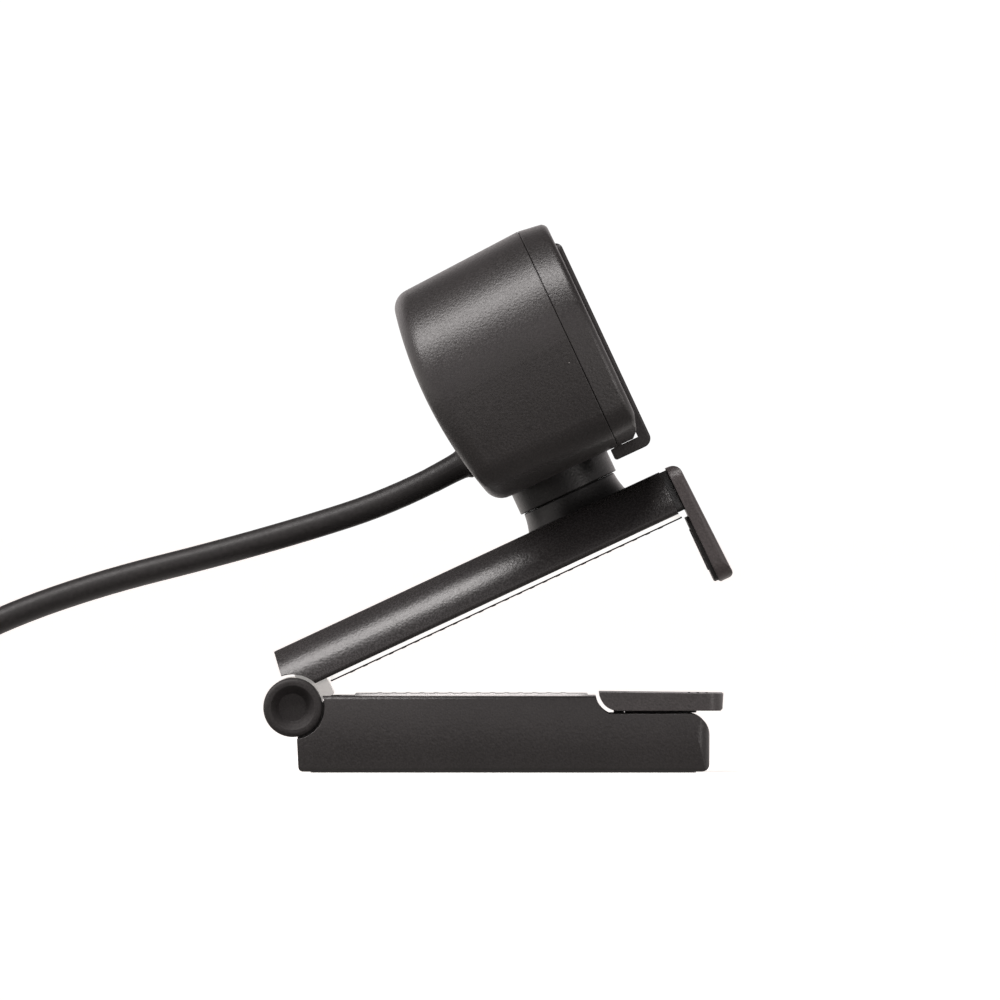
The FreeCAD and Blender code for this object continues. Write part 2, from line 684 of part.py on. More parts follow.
def rear_shell():
    outer = soften(rear_block(0), HEAD_EDGE_R, along_lower_edges)

    def around_back(edge):
        return edge.BoundBox.XMax < 50.0

    outer = soften(outer, 3.4, around_back)
    shell = cut(outer, rear_block(WALL))
    shell = cut(shell, rod_z(NECK_U, 0, COLLAR_R, 10, 25), groove())
    for y, n in SHELL_SCREWS:
        boss = rod_x(y, n, 2.5, 44.5, PARTING)
        shell = join(shell, boss)
        shell = cut(shell, rod_x(y, n, 1.0, 58, PARTING + 1))
    shell = cut(shell, cord_outlet(2.9, -4, 4))
    return shell


def parting_seam():
    """Ring-shaped tool for the groove round the head in front of the parting line."""
    back, front = PARTING - 2.0, PARTING + 2.0
    core = Part.makeLoft([
        head_section(u, HEAD_HALF - SEAM_DEEP, HEAD_LOW + SEAM_DEEP, 19.3 + SEAM_DEEP,
                     HEAD_HIGH - SEAM_DEEP, SHOULDER_R - SEAM_DEEP)
        for u in (back, front)
    ], True, True)
    core = soften(core, HEAD_EDGE_R - SEAM_DEEP, along_lower_edges)
    return cut(box(PARTING - 0.5, PARTING + SEAM_WIDE, -60, 60, 0, 80), core)


def front_bezel():
    outer = Part.makeLoft([
        head_section(PARTING, HEAD_HALF, HEAD_LOW, 19.3, HEAD_HIGH, SHOULDER_R),
        head_section(BEZEL_FRONT, HEAD_HALF - 0.6, HEAD_LOW, 19.7, HEAD_HIGH - 0.7, SHOULDER_R - 0.5),
    ], True, True)
    outer = soften(outer, HEAD_EDGE_R, along_lower_edges)

    def front_rim(edge):
        return edge.BoundBox.XMin > BEZEL_FRONT - 0.02 and edge.BoundBox.ZMax > 24.0

    outer = soften(outer, 1.2, front_rim)
    side = prism_y([(60, 10, 0), (70.75, HEAD_LOW - 0.7, 0), (72.45, HEAD_LOW + 1.0, 1.2),
                    (BEZEL_FRONT, 20.8, 3.0), (BEZEL_FRONT, 70, 0), (60, 70, 0)], -60, 60)
    outer = cut(outer.common(side), parting_seam())
    room = Part.makeLoft([
        head_section(u, HEAD_HALF - 2.6, HEAD_LOW + 2.4, 21.8, HEAD_HIGH - 2.9, SHOULDER_R - 2.6)
        for u in (PARTING - 1, BEZEL_FRONT + 1)
    ], True, True)
    bezel = cut(outer, room)
    # the rim is cut down where the slider passes over it
    track = box(SLIDER_BACK - 0.15, 80, SLIDER_Y0 - 2.0, SLIDER_Y1 + 18.0, 10, 25)
    bezel = cut(bezel, track, groove())
    for y, n in SHELL_SCREWS:
        tab = rod_x(y, n, 2.9, PARTING, 70.1)
        arm_y = 3.2 if y > 0 else -3.2
        bridge = box(PARTING, 70.1, min(y, y + 3 * arm_y), max(y, y + 3 * arm_y), n - 1.2, n + 1.2)
        inside = Part.makeLoft([
            head_section(u, HEAD_HALF - 1.0, HEAD_LOW + 1.0, 20.3, HEAD_HIGH - 1.2, SHOULDER_R - 1.0)
            for u in (PARTING - 1, BEZEL_FRONT + 1)
        ], True, True)
        bezel = join(bezel, join(tab, bridge.common(inside)))
        bezel = cut(bezel, rod_x(y, n, 1.1, PARTING - 1, 71))
    return bezel


LED_Y = 15.0
MIC_Y = 33.0


def face_panel():
    panel = Part.makeLoft([
        head_section(u, HEAD_HALF - 2.65, HEAD_LOW + 2.45, 21.85, HEAD_HIGH - 2.95, SHOULDER_R - 2.65)
        for u in (70.75, PANEL_FACE)
    ], True, True)
    panel = cut(panel, rod_x(0, LENS_N, 7.0, 70, 75))
    panel = cut(panel, rod_x(LED_Y, LENS_N, 1.0, 70, 75))
    for y in (-MIC_Y, MIC_Y):
        for step in (-1, 0, 1):
            panel = cut(panel, rod_x(y, LENS_N + 2.0 * step, 0.45, 70, 75))
    guide = box(70, 75, SLIDER_Y0 + 3.6, SLIDER_Y1 + 12.4, 49.0, 50.6)
    return cut(panel, guide)


def lens_trim_ring():
    ring = rod_x(0, LENS_N, 7.0, 70.6, PANEL_FACE)
    cone = Part.makeCone(4.6, 6.2, 1.2, V(PANEL_FACE - 1.2, 0, LENS_N), V(1, 0, 0))
    return cut(ring, rod_x(0, LENS_N, 4.6, 70, 75), cone)


def lens_glass():
    disc = rod_x(0, LENS_N, 4.6, 70.1, 71.0)
    dome = Part.makeSphere(16.0, V(71.35 - 16.0, 0, LENS_N))
    cap = rod_x(0, LENS_N, 4.6, 70.1, 71.5).common(dome)
    return join(disc, cap)


def lens_barrel():
    barrel = rod_x(0, LENS_N, 5.4, 62.0, 70.1)
    bore = rod_x(0, LENS_N, 3.6, 61.0, 71.0)
    wide = Part.makeCone(3.6, 4.7, 2.0, V(68.15, 0, LENS_N), V(1, 0, 0))
    rings = [cut(rod_x(0, LENS_N, 6, u, u + 0.5), rod_x(0, LENS_N, 5.1, u, u + 0.5)) for u in (63.2, 64.4)]
    return cut(barrel, bore, wide, *rings)


def lens_elements():
    front = rod_x(0, LENS_N, 3.6, 66.0, 68.0).common(Part.makeSphere(7.0, V(61.0, 0, LENS_N)))
    rear = rod_x(0, LENS_N, 3.6, 62.6, 64.2)
    return Part.makeCompound([front, rear])


def lens_holder():
    base = box(57.3, 59.5, -7.5, 7.5, LENS_N - 7.5, LENS_N + 7.5)
    tower = rod_x(0, LENS_N, 6.6, 59.5, 66.0)
    holder = join(base, tower)
    sensor_room = box(57.0, 58.6, -4.6, 4.6, LENS_N - 4.1, LENS_N + 4.1)
    return cut(holder, sensor_room, rod_x(0, LENS_N, 5.4, 61.9, 67), rod_x(0, LENS_N, 3.4, 58, 63))


BOARD_U0, BOARD_U1 = 55.7, 57.3


def main_board():
    board = box(BOARD_U0, BOARD_U1, -31, 31, 23.5, 50.5)
    for y in (-27.5, 27.5):
        board = cut(board, rod_x(y, 27.0, 1.2, 50, 60))
    return board


def board_chips():
    places = [(-20, 30, 5.0, 5.0, 1.0), (-19, 43, 3.0, 2.2, 0.8), (21, 31, 3.5, 3.5, 0.9),
              (24, 43, 1.4, 2.4, 1.1), (-12.5, 26, 1.0, 0.6, 0.5), (12.5, 47, 1.0, 0.6, 0.5)]
    parts = []
    for y, n, half_y, half_n, tall in places:
        parts.append(box(BOARD_U1, BOARD_U1 + tall, y - half_y, y + half_y, n - half_n, n + half_n))
    return Part.makeCompound(parts)


def image_sensor():
    return box(BOARD_U1, 58.3, -4.2, 4.2, LENS_N - 3.7, LENS_N + 3.7)


def microphones():
    parts = []
    for y in (-MIC_Y, MIC_Y):
        parts.append(rod_x(y, LENS_N, 3.0, 68.6, 70.75))
    return Part.makeCompound(parts)


def led_light_pipe():
    stem = rod_x(LED_Y, LENS_N, 1.0, 58.4, PANEL_FACE)
    foot_ = rod_x(LED_Y, LENS_N, 1.8, 69.4, 70.75)
    return join(stem, foot_)


def status_led():
    return box(BOARD_U1, 58.3, LED_Y - 0.8, LED_Y + 0.8, LENS_N - 0.5, LENS_N + 0.5)


def cable_connector():
    plug = box(51.3, BOARD_U0, -4.5, 4.5, 24.2, 29.0)
    return plug


def inner_lead():
    """The lead inside the head, from the strain relief to its board connector."""
    return rod_x(0, 26.2, 1.7, 47.5, 51.3)


def shell_screws():
    parts = []
    for y, n in SHELL_SCREWS:
        head = rod_x(y, n, 1.9, 70.1, 70.7)
        shank = rod_x(y, n, 1.0, 60.0, 70.1)
        cross = box(70.4, 71, y - 1.2, y + 1.2, n - 0.25, n + 0.25)
        parts.append(cut(join(head, shank), cross))
    return Part.makeCompound(parts)


# --------------------------------------------------------------- privacy slider
def privacy_slider():
    """Shutter with a thin front, a foot under the head and a hook that runs in its groove."""
    wide0, wide1 = SLIDER_Y0, SLIDER_Y1
    low, high, foot_top = 14.8, 52.5, HEAD_LOW - RUN
    hook_top = GROOVE_N - 0.2
    side = [(67.25, low, 0.5), (SLIDER_FRONT, low, 1.6), (SLIDER_FRONT, high, 1.2),
            (SLIDER_BACK, high, 0), (SLIDER_BACK, foot_top, 0), (69.35, foot_top, 0), (69.3, hook_top, 0.2),
            (68.1, hook_top, 0.2), (67.95, foot_top, 0), (67.25, foot_top - 0.05, 0.2)]
    body = prism_y(side, wide0, wide1)
    face = prism_x([(wide0, 10, 0), (wide1, 10, 0), (wide1, high, 1.6), (wide0, high, 1.6)], 60, 80)
    body = body.common(face)
    plan = prism_z([(60, wide0, 0), (SLIDER_FRONT, wide0, 0.4), (SLIDER_FRONT, wide1, 0.4),
                    (60, wide1, 0)], 10, 60)
    body = body.common(plan)
    tab = box(69.9, SLIDER_BACK, wide0 + 4.0, wide1 - 4.0, 49.3, 50.3)
    grips = [box(SLIDER_FRONT - 0.3, 80, wide0 + 3.5, wide1 - 3.5, n, n + 0.7) for n in (20.0, 22.0, 24.0)]
    return cut(join(body, tab), *grips)


# ------------------------------------------------------------------------- cord
RELIEF_REACH = 6.0


def strain_relief():
    inner = cord_outlet(3.9, -3.4, -2.2)
    stem = cord_outlet(2.9, -2.2, 0.6)
    tilt = math.radians(CORD_TILT)
    way = V(-math.cos(tilt), 0, -math.sin(tilt))
    start = V(CORD_EXIT_U, 0, CORD_EXIT_N) + way * 0.6
    sleeve = Part.makeCone(2.6, CORD_D / 2 + 0.08, RELIEF_REACH - 0.6, start, way)
    return join(inner, stem, sleeve)


def arm_to_bench(u, n):
    """Point in the arm's own coordinates, given in bench coordinates."""
    angle = math.radians(ARM_ANGLE)
    x = u * math.cos(angle) - n * math.sin(angle)
    z = HINGE_Z + u * math.sin(angle) + n * math.cos(angle)
    return x, z


COIL_BED = 0.5            # thickness of the tie under the coil
COIL_PITCH = 4.5
COIL_MEAN_R = 24.5
COIL_X, COIL_Y = -97.5, 32.1
COIL_TURNS_WIDE = 3
COIL_TALL = COIL_TURNS_WIDE * COIL_PITCH
COIL_TOP = COIL_BED + COIL_TALL
COIL_OUTER = COIL_MEAN_R + COIL_TALL / 2
COIL_INNER = COIL_MEAN_R - COIL_TALL / 2


def cord_start():
    tilt = math.radians(CORD_TILT)
    u = CORD_EXIT_U - RELIEF_REACH * math.cos(tilt)
    n = CORD_EXIT_N - RELIEF_REACH * math.sin(tilt)
    x, z = arm_to_bench(u, n)
    return V(x, 0, z)


# The lead leaves the head, arches over to the left and comes down on the coil,
# where it runs into the top layer's outermost turn.
CORD_ROUTE = [
    (16.2, 0.0, 45.9),
    (2.0, 0.1, 41.3),
    (-14.0, 0.3, 36.8),
    (-32.0, 0.9, 32.3),
    (-48.5, 1.7, 26.6),
    (-61.5, 2.3, 20.0),
    (-73.5, 2.7, 14.9),
    (-86.0, 2.9, 12.2),
    (-97.5, 3.1, 11.8),
]

# The far end runs round the outside of the coil on the table, then to the plug.
TAIL_ROUTE = [
    (-94.8, 65.6, 2.75),
    (-81.2, 62.0, 2.75),
    (-70.2, 53.2, 2.75),
    (-64.7, 41.0, 2.75),
    (-63.8, 29.0, 2.75),
    (-64.1, 18.5, 3.2),
    (-64.0, 9.5, 4.0),
]
PLUG_X, PLUG_Y, PLUG_Z = -64.0, 9.5, 4.0       # where the lead enters the plug


def tube(name, route, radius):
    """Round tube: straight runs joined by arcs as large as the runs allow."""
    points = [V(*p) for p in route]
    edges = []
    radii = []
    here = points[0]
    for i in range(1, len(points) - 1):
        before = points[i] - points[i - 1]
        after = points[i + 1] - points[i]
        turn = before.getAngle(after)
        shorter = min(before.Length, after.Length)
        back = 0.45 * shorter
        bend = back / math.tan(turn / 2)
        into = V(before).normalize()
        out = V(after).normalize()
        first = points[i] - into * back
        last = points[i] + out * back
        inward = V(out - into).normalize()
        middle = points[i] + inward * (bend / math.cos(turn / 2) - bend)
        edges.append(Part.LineSegment(here, first).toShape())
        edges.append(Part.Arc(first, middle, last).toShape())
        radii.append(round(bend, 1))
        here = last
    edges.append(Part.LineSegment(here, points[-1]).toShape())
    path = Part.Wire(edges)
    way = V(points[1] - points[0]).normalize()
    ring = Part.Wire([Part.makeCircle(radius, points[0], way)])
    pipe = path.makePipeShell([ring], True, False)
    expected = math.pi * radius * radius * path.Length
    print(name, "radii", radii, "length", round(path.Length, 1),
          "volume", round(pipe.Volume, 1), "expected", round(expected, 1), pipe.isValid())
    return pipe


def usb_cord():
    start = cord_start()
    return tube("usb_cord", [(start.x, start.y, start.z)] + CORD_ROUTE, CORD_D / 2)


def cord_tail():
    return tube("cord_tail", TAIL_ROUTE, CORD_D / 2)


def cord_coil():
    corner = 2.0
    low, high = COIL_BED, COIL_TOP
    wire = rounded_wire([(COIL_INNER, low, corner), (COIL_OUTER, low, corner),
                         (COIL_OUTER, high, corner), (COIL_INNER, high, corner)],
                        lambda p: V(COIL_X + p.x, COIL_Y, p.y))
    return Part.Face(wire).revolve(V(COIL_X, COIL_Y, 0), V(0, 0, 1), 360)


TIE_WIDE = 5.0
TIE_THICK = 0.6


def cord_tie():
    """Strap round the bundle on its left side."""
    y0, y1 = COIL_Y - TIE_WIDE / 2, COIL_Y + TIE_WIDE / 2
    left, right = COIL_X - COIL_OUTER - 0.1, COIL_X - COIL_INNER + 0.05
    outer = box(left - TIE_THICK, right + TIE_THICK, y0, y1, 0, COIL_TOP + TIE_THICK)
    inner = box(left, right, y0 - 1, y1 + 1, COIL_BED, COIL_TOP + 0.05)
    return cut(outer, inner)


NOSE_LONG, GRIP_LONG, SHELL_LONG = 6.0, 18.0, 12.0
GRIP_END = PLUG_Y - NOSE_LONG - GRIP_LONG
GRIP_TALL, GRIP_WIDE = 3.8, 7.6       # half sizes
GRIP_ROUND = 2.0


def plug_grip():
    """Moulded grip of the plug with its tapered nose; it lies on the table."""
    nose = Part.makeCone(2.5, 3.2, NOSE_LONG, V(PLUG_X, PLUG_Y, PLUG_Z), V(0, -1, 0))
    x0, x1 = PLUG_X - GRIP_WIDE, PLUG_X + GRIP_WIDE
    z0, z1 = PLUG_Z - GRIP_TALL, PLUG_Z + GRIP_TALL
    outline = [(x, z, GRIP_ROUND) for x, z in ((x0, z0), (x1, z0), (x1, z1), (x0, z1))]
    body = prism_y(outline, GRIP_END, PLUG_Y - NOSE_LONG)
    return join(nose, body)


def plug_shell():
    """Metal shell of a USB-A plug."""
    y0, y1 = GRIP_END - SHELL_LONG, GRIP_END
    outer = box(PLUG_X - 6.0, PLUG_X + 6.0, y0, y1, PLUG_Z - 2.25, PLUG_Z + 2.25)
    inner = box(PLUG_X - 5.7, PLUG_X + 5.7, y0 - 1, y1 - 1.0, PLUG_Z - 1.95, PLUG_Z + 1.95)
    windows = [box(x - 1.2, x + 1.2, y0 + 4.5, y0 + 6.9, PLUG_Z - 4, PLUG_Z + 4)
               for x in (PLUG_X - 3.0, PLUG_X + 3.0)]
    return cut(outer, inner, *windows)


def plug_tongue():
    """Contact tongue inside the shell."""
    y0, y1 = GRIP_END - SHELL_LONG + 0.4, GRIP_END - 1.0
    return box(PLUG_X - 5.6, PLUG_X + 5.6, y0, y1, PLUG_Z - 0.1, PLUG_Z + 1.85)


# ----------------------------------------------------------------------- output
os.makedirs("parts", exist_ok=True)

FOOT_NODES = [
    foot_shell, foot_base_plate, sole, foot_pad, tripod_insert, foot_screws,
    hinge_pin, hinge_washers, hinge_caps, flap, flap_pad, flap_pin,
    usb_cord, cord_tail, cord_coil, cord_tie, plug_grip, plug_shell, plug_tongue,
]
ARM_NODES = [
    hinge_knuckle, arm_cover, arm_frame, arm_screws, arm_pad_tape, arm_pad,
    hook_lip, hook_pad, neck_base, swivel_bolt, swivel_washer, swivel_nut,
    neck_collar, rear_shell, front_bezel, face_panel, privacy_slider,
    lens_trim_ring, lens_glass, lens_barrel, lens_elements, lens_holder,
    image_sensor, main_board, board_chips, microphones, led_light_pipe, status_led,
    cable_connector, inner_lead, shell_screws, strain_relief,
]

for make in FOOT_NODES:
    save_foot(make.__name__, make())
for make in ARM_NODES:
    save_arm(make.__name__, make())
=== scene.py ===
"""Finishes, cord, lights and camera for a webcam on a folding clip.  Lengths are in metres."""

import bmesh
import bpy
import json
import math
from mathutils import Matrix, Vector


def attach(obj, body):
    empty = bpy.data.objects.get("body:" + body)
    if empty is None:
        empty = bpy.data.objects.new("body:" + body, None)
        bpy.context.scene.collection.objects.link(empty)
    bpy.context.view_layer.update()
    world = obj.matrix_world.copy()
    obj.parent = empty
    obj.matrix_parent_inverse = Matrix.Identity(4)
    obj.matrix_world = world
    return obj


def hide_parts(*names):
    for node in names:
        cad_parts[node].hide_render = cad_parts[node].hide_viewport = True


MM = 0.001

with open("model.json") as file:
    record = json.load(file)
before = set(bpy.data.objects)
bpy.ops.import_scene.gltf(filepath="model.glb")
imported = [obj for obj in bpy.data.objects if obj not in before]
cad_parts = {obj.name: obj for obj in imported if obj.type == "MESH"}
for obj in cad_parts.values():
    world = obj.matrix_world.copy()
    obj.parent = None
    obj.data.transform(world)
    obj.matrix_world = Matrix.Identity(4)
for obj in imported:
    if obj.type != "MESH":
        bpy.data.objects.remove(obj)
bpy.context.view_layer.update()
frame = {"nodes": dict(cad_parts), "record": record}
nodes = frame["nodes"]
scene = bpy.context.scene

# ------------------------------------------------------------- the frame's own axes
joints = {joint["name"]: joint for joint in frame["record"]["behaviour"]["joints"]}
HINGE = Vector(joints["arm_fold"]["pos_m"])
swivel_axis = Vector(joints["head_swivel"]["axis"])
ARM_ANGLE = math.atan2(-swivel_axis.x, swivel_axis.z)

# "Bench" points count x from the hinge axis and z from the table.  "Arm" points
# are (u, y, n): along the arm from the hinge axis, across it, and square to it.
BENCH = Matrix.Translation((HINGE.x, 0, 0))
ARM = Matrix.Translation(HINGE) @ Matrix.Rotation(-ARM_ANGLE, 4, "Y")


def local_box(node, place):
    """Lowest and highest corner of a CAD node along the axes of place."""
    back = place.inverted()
    points = [back @ vertex.co for vertex in nodes[node].data.vertices]
    low = Vector([min(p[i] for p in points) for i in range(3)])
    high = Vector([max(p[i] for p in points) for i in range(3)])
    return low, high


# --------------------------------------------------------------------------- camera
VIEW_WIDTH = 0.170            # width of the picture at the object
VIEW_DISTANCE = 5.0           # far enough away for an almost parallel view
VIEW_CENTRE = BENCH @ Vector((0.0351, 0, 0.0462))
SENSOR = 36.0


def make_camera():
    """Level camera square to the object's side."""
    data = bpy.data.cameras.new("camera")
    data.sensor_width = SENSOR
    data.lens = SENSOR * VIEW_DISTANCE / VIEW_WIDTH
    data.clip_start = 0.1
    data.clip_end = 50.0
    camera = bpy.data.objects.new("camera", data)
    camera.location = VIEW_CENTRE + Vector((0, -VIEW_DISTANCE, 0))
    camera.rotation_euler = (math.radians(90), 0, 0)
    scene.collection.objects.link(camera)
    scene.camera = camera


make_camera()

# ----------------------------------------------------------------------------- cord
CORD_D = 4.4 * MM
CORD_EXIT_U, CORD_EXIT_N = 43.8 * MM, 25.3 * MM       # arm point where the lead leaves the head
CORD_TILT = math.radians(3.0)
RELIEF_REACH = 6.0 * MM                               # the lead is seen from this far out

# Bench points along the lead: from the head to the coil, and from the coil to the plug
CORD_ROUTE = [
    (0.0162, 0.0, 0.0459),
    (0.0020, 0.0001, 0.0413),
    (-0.0140, 0.0003, 0.0368),
    (-0.0320, 0.0009, 0.0323),
    (-0.0485, 0.0017, 0.0266),
    (-0.0615, 0.0023, 0.0200),
    (-0.0735, 0.0027, 0.0149),
    (-0.0860, 0.0029, 0.0122),
    (-0.0975, 0.0031, 0.0118),
]
TAIL_ROUTE = [
    (-0.0638, 0.0290, 0.00275),
    (-0.0641, 0.0185, 0.0032),
    (-0.0640, 0.0095, 0.0040),
]

COIL_BED = 0.5 * MM
COIL_PITCH = 4.5 * MM         # from one seat of a turn to the next
COIL_MEAN_R = 24.5 * MM
COIL_X, COIL_Y = -97.5 * MM, 32.1 * MM
COIL_ENTRY = -90.0            # direction from the coil's middle to where the lead joins it
POINTS_PER_TURN = 24
COIL_TRAVEL = 8.75 * 360      # degrees wound from the entry to where the tail leaves
SHIFT_FROM = 106.0            # degrees on the last turn where its shift to the next seat begins
SHIFT_STEP = 22.0             # each turn before it shifts this much later
SHIFT_LONG = 78.0


def coil_seats():
    """Where each turn sits in the bundle, as (radius, height), from the entry to the tail."""
    inner, middle, outer = [COIL_MEAN_R + COIL_PITCH * i for i in (-1, 0, 1)]
    low, mid, top = [COIL_BED + COIL_PITCH * (i + 0.5) for i in range(3)]
    return [(outer, top), (middle, top), (inner, top), (inner, mid), (inner, low),
            (middle, low), (middle, mid), (outer, mid), (outer, low), (outer + COIL_PITCH, low)]


def ease(part):
    """Smooth step: 0 up to part 0, 1 from part 1 on."""
    part = min(1.0, max(0.0, part))
    return part * part * (3 - 2 * part)


def coil_points():
    """The wound turns: each keeps its seat, then slides over to the next one's."""
    seats = coil_seats()
    last_turn = len(seats) - 2
    step = 360 / POINTS_PER_TURN
    points = []
    for i in range(1, round(COIL_TRAVEL / step)):
        travelled = i * step
        turn = int(travelled // 360)
        start = SHIFT_FROM + SHIFT_STEP * (last_turn - turn)
        part = ease((travelled % 360 - start) / SHIFT_LONG)
        (r0, z0), (r1, z1) = seats[turn], seats[turn + 1]
        radius = r0 + (r1 - r0) * part
        height = z0 + (z1 - z0) * part
        angle = math.radians(COIL_ENTRY - travelled)
        points.append((COIL_X + radius * math.cos(angle), COIL_Y + radius * math.sin(angle), height))
    return points


def cord_exit():
    """Where the drawn lead begins, just inside the end of its relief sleeve."""
    return ARM @ Vector((CORD_EXIT_U - RELIEF_REACH * math.cos(CORD_TILT), 0,
                         CORD_EXIT_N - RELIEF_REACH * math.sin(CORD_TILT)))


def nurbs_line(name, points):
    """Smooth open curve with the points as its control points."""
    data = bpy.data.curves.new(name, "CURVE")
    data.dimensions = "3D"
    spline = data.splines.new("NURBS")
    spline.points.add(len(points) - 1)
    for point, place in zip(spline.points, points):
        point.co = (*place, 1.0)
    spline.order_u = 3
    spline.use_endpoint_u = True
    spline.resolution_u = 6
    piece = bpy.data.objects.new(name, data)
    scene.collection.objects.link(piece)
    return piece


def make_cord():
    """One lead from the head to its plug, with the spare length wound in a coil."""
    laid = [BENCH @ Vector(p) for p in CORD_ROUTE + coil_points() + TAIL_ROUTE]
    lead = nurbs_line("usb_lead", [cord_exit()] + laid)
    lead.data.bevel_depth = CORD_D / 2
    lead.data.bevel_resolution = 6
    lead.data.use_fill_caps = True
    return lead


lead = make_cord()

# ------------------------------------------------------------------------ materials


def node_adder(tree):
    """Function that adds a node to the tree, with values for its sockets or its settings."""
    def add(kind, **values):
        node = tree.nodes.new(kind)
        for key, value in values.items():
            if key in node.inputs:
                node.inputs[key].default_value = value
            else:
                setattr(node, key, value)
        return node

    return add


def material(name):
    """New material: itself, its link function, its shader and a function that adds nodes."""
    made = bpy.data.materials.new(name)
    made.use_nodes = True
    tree = made.node_tree
    return made, tree.links.new, tree.nodes["Principled BSDF"], node_adder(tree)


def ramp(add, stops):
    """Colour ramp with (place, colour) stops."""
    node = add("ShaderNodeValToRGB")
    points = node.color_ramp.elements
    for i, (place, colour) in enumerate(stops):
        point = points[i] if i < 2 else points.new(place)
        point.position = place
        point.color = (*colour, 1.0)
    return node


def grey(value, warm=0.0):
    """Near-neutral colour, redder as warm grows."""
    return (value * (1 + warm), value, value)


CLOUD_SCALE = 55.0                    # size of the slow changes of tone
MOTTLE_PITS = 0.6                     # share of the fine texture in the mottled tone
TONE_SWING, GLOSS_SWING = 0.3, 0.07
EDGE_FROM, EDGE_TO = 0.97, 0.72       # how far an edge has turned where wear starts and is full
WORN_TONE = 2.6                       # worn tone against the plain one
DUST_SCALE, DUST_SIZE, DUST_TONE = 420.0, 0.045, 0.32


def moulded(name, tone, roughness, warm=0.06, grain=0.35, grain_size=0.00032, wear=1.0, specks=0.0,
            specular=0.5, edge=0.00022):
    """Moulded plastic: fine spark texture, uneven tone and gloss, paler worn edges, a few dust specks."""
    made, link, shader, add = material(name)
    where = add("ShaderNodeTexCoord").outputs["Object"]
    rounded = add("ShaderNodeBevel", samples=4, Radius=edge)

    pits = add("ShaderNodeTexNoise", Scale=1 / grain_size, Detail=2.0, Roughness=0.6)
    link(where, pits.inputs["Vector"])
    cells = add("ShaderNodeTexVoronoi", Scale=0.8 / grain_size)
    cells.feature = "SMOOTH_F1"
    link(where, cells.inputs["Vector"])
    texture = add("ShaderNodeMath", operation="ADD")
    link(pits.outputs["Fac"], texture.inputs[0])
    link(cells.outputs["Distance"], texture.inputs[1])
    bump = add("ShaderNodeBump", Strength=grain, Distance=grain_size * 0.25)
    link(texture.outputs[0], bump.inputs["Height"])
    link(rounded.outputs["Normal"], bump.inputs["Normal"])
    link(bump.outputs["Normal"], shader.inputs["Normal"])

    clouds = add("ShaderNodeTexNoise", Scale=CLOUD_SCALE, Detail=4.0)
    link(where, clouds.inputs["Vector"])
    mottle = add("ShaderNodeMix", data_type="FLOAT")
    mottle.inputs["Factor"].default_value = MOTTLE_PITS
    link(clouds.outputs["Fac"], mottle.inputs["A"])
    link(pits.outputs["Fac"], mottle.inputs["B"])
    base = ramp(add, [(0.35, grey(tone * (1 - TONE_SWING), warm)),
                      (0.65, grey(tone * (1 + TONE_SWING), warm))])
    link(mottle.outputs["Result"], base.inputs["Fac"])

    # paler along edges, where fingers and cartons rub
    plain = add("ShaderNodeNewGeometry")
    turn = add("ShaderNodeVectorMath", operation="DOT_PRODUCT")
    link(plain.outputs["Normal"], turn.inputs[0])
    link(rounded.outputs["Normal"], turn.inputs[1])
    rubbed = add("ShaderNodeMapRange", **{"From Min": EDGE_FROM, "From Max": EDGE_TO, "To Max": wear})
    link(turn.outputs["Value"], rubbed.inputs["Value"])
    patchy = add("ShaderNodeMath", operation="MULTIPLY", use_clamp=True)
    link(rubbed.outputs["Result"], patchy.inputs[0])
    link(clouds.outputs["Fac"], patchy.inputs[1])
    worn = add("ShaderNodeMix", data_type="RGBA")
    link(patchy.outputs[0], worn.inputs["Factor"])
    link(base.outputs["Color"], worn.inputs["A"])
    worn.inputs["B"].default_value = (*grey(tone * WORN_TONE, warm), 1.0)
    colour = worn.outputs["Result"]

    if specks:
        dust = add("ShaderNodeTexVoronoi", Scale=DUST_SCALE)
        link(where, dust.inputs["Vector"])
        small = add("ShaderNodeMath", operation="LESS_THAN")
        link(dust.outputs["Distance"], small.inputs[0])
        small.inputs[1].default_value = DUST_SIZE
        pick = add("ShaderNodeSeparateColor")
        link(dust.outputs["Color"], pick.inputs["Color"])
        few = add("ShaderNodeMath", operation="LESS_THAN")
        link(pick.outputs["Red"], few.inputs[0])
        few.inputs[1].default_value = specks
        speck = add("ShaderNodeMath", operation="MULTIPLY")
        link(small.outputs[0], speck.inputs[0])
        link(few.outputs[0], speck.inputs[1])
        dusty = add("ShaderNodeMix", data_type="RGBA")
        link(speck.outputs[0], dusty.inputs["Factor"])
        link(colour, dusty.inputs["A"])
        dusty.inputs["B"].default_value = (*grey(DUST_TONE, 0.05), 1.0)
        colour = dusty.outputs["Result"]
    link(colour, shader.inputs["Base Color"])

    gloss = add("ShaderNodeMapRange", **{"From Min": 0.3, "From Max": 0.7, "To Min": roughness - GLOSS_SWING,
                                         "To Max": roughness + GLOSS_SWING})
    link(pits.outputs["Fac"], gloss.inputs["Value"])
    link(gloss.outputs["Result"], shader.inputs["Roughness"])
    shader.inputs["Specular IOR Level"].default_value = specular
    return made


def rubber(name, tone, roughness=0.6, warm=0.03):
    """Soft moulded rubber: matt, with a faint velvet and fine dimples."""
    made = moulded(name, tone, roughness, warm=warm, grain=0.5, grain_size=0.0005, wear=0.4, edge=0.0003)
    shader = made.node_tree.nodes["Principled BSDF"]
    shader.inputs["Sheen Weight"].default_value = 0.15
    shader.inputs["Sheen Roughness"].default_value = 0.5
    return made


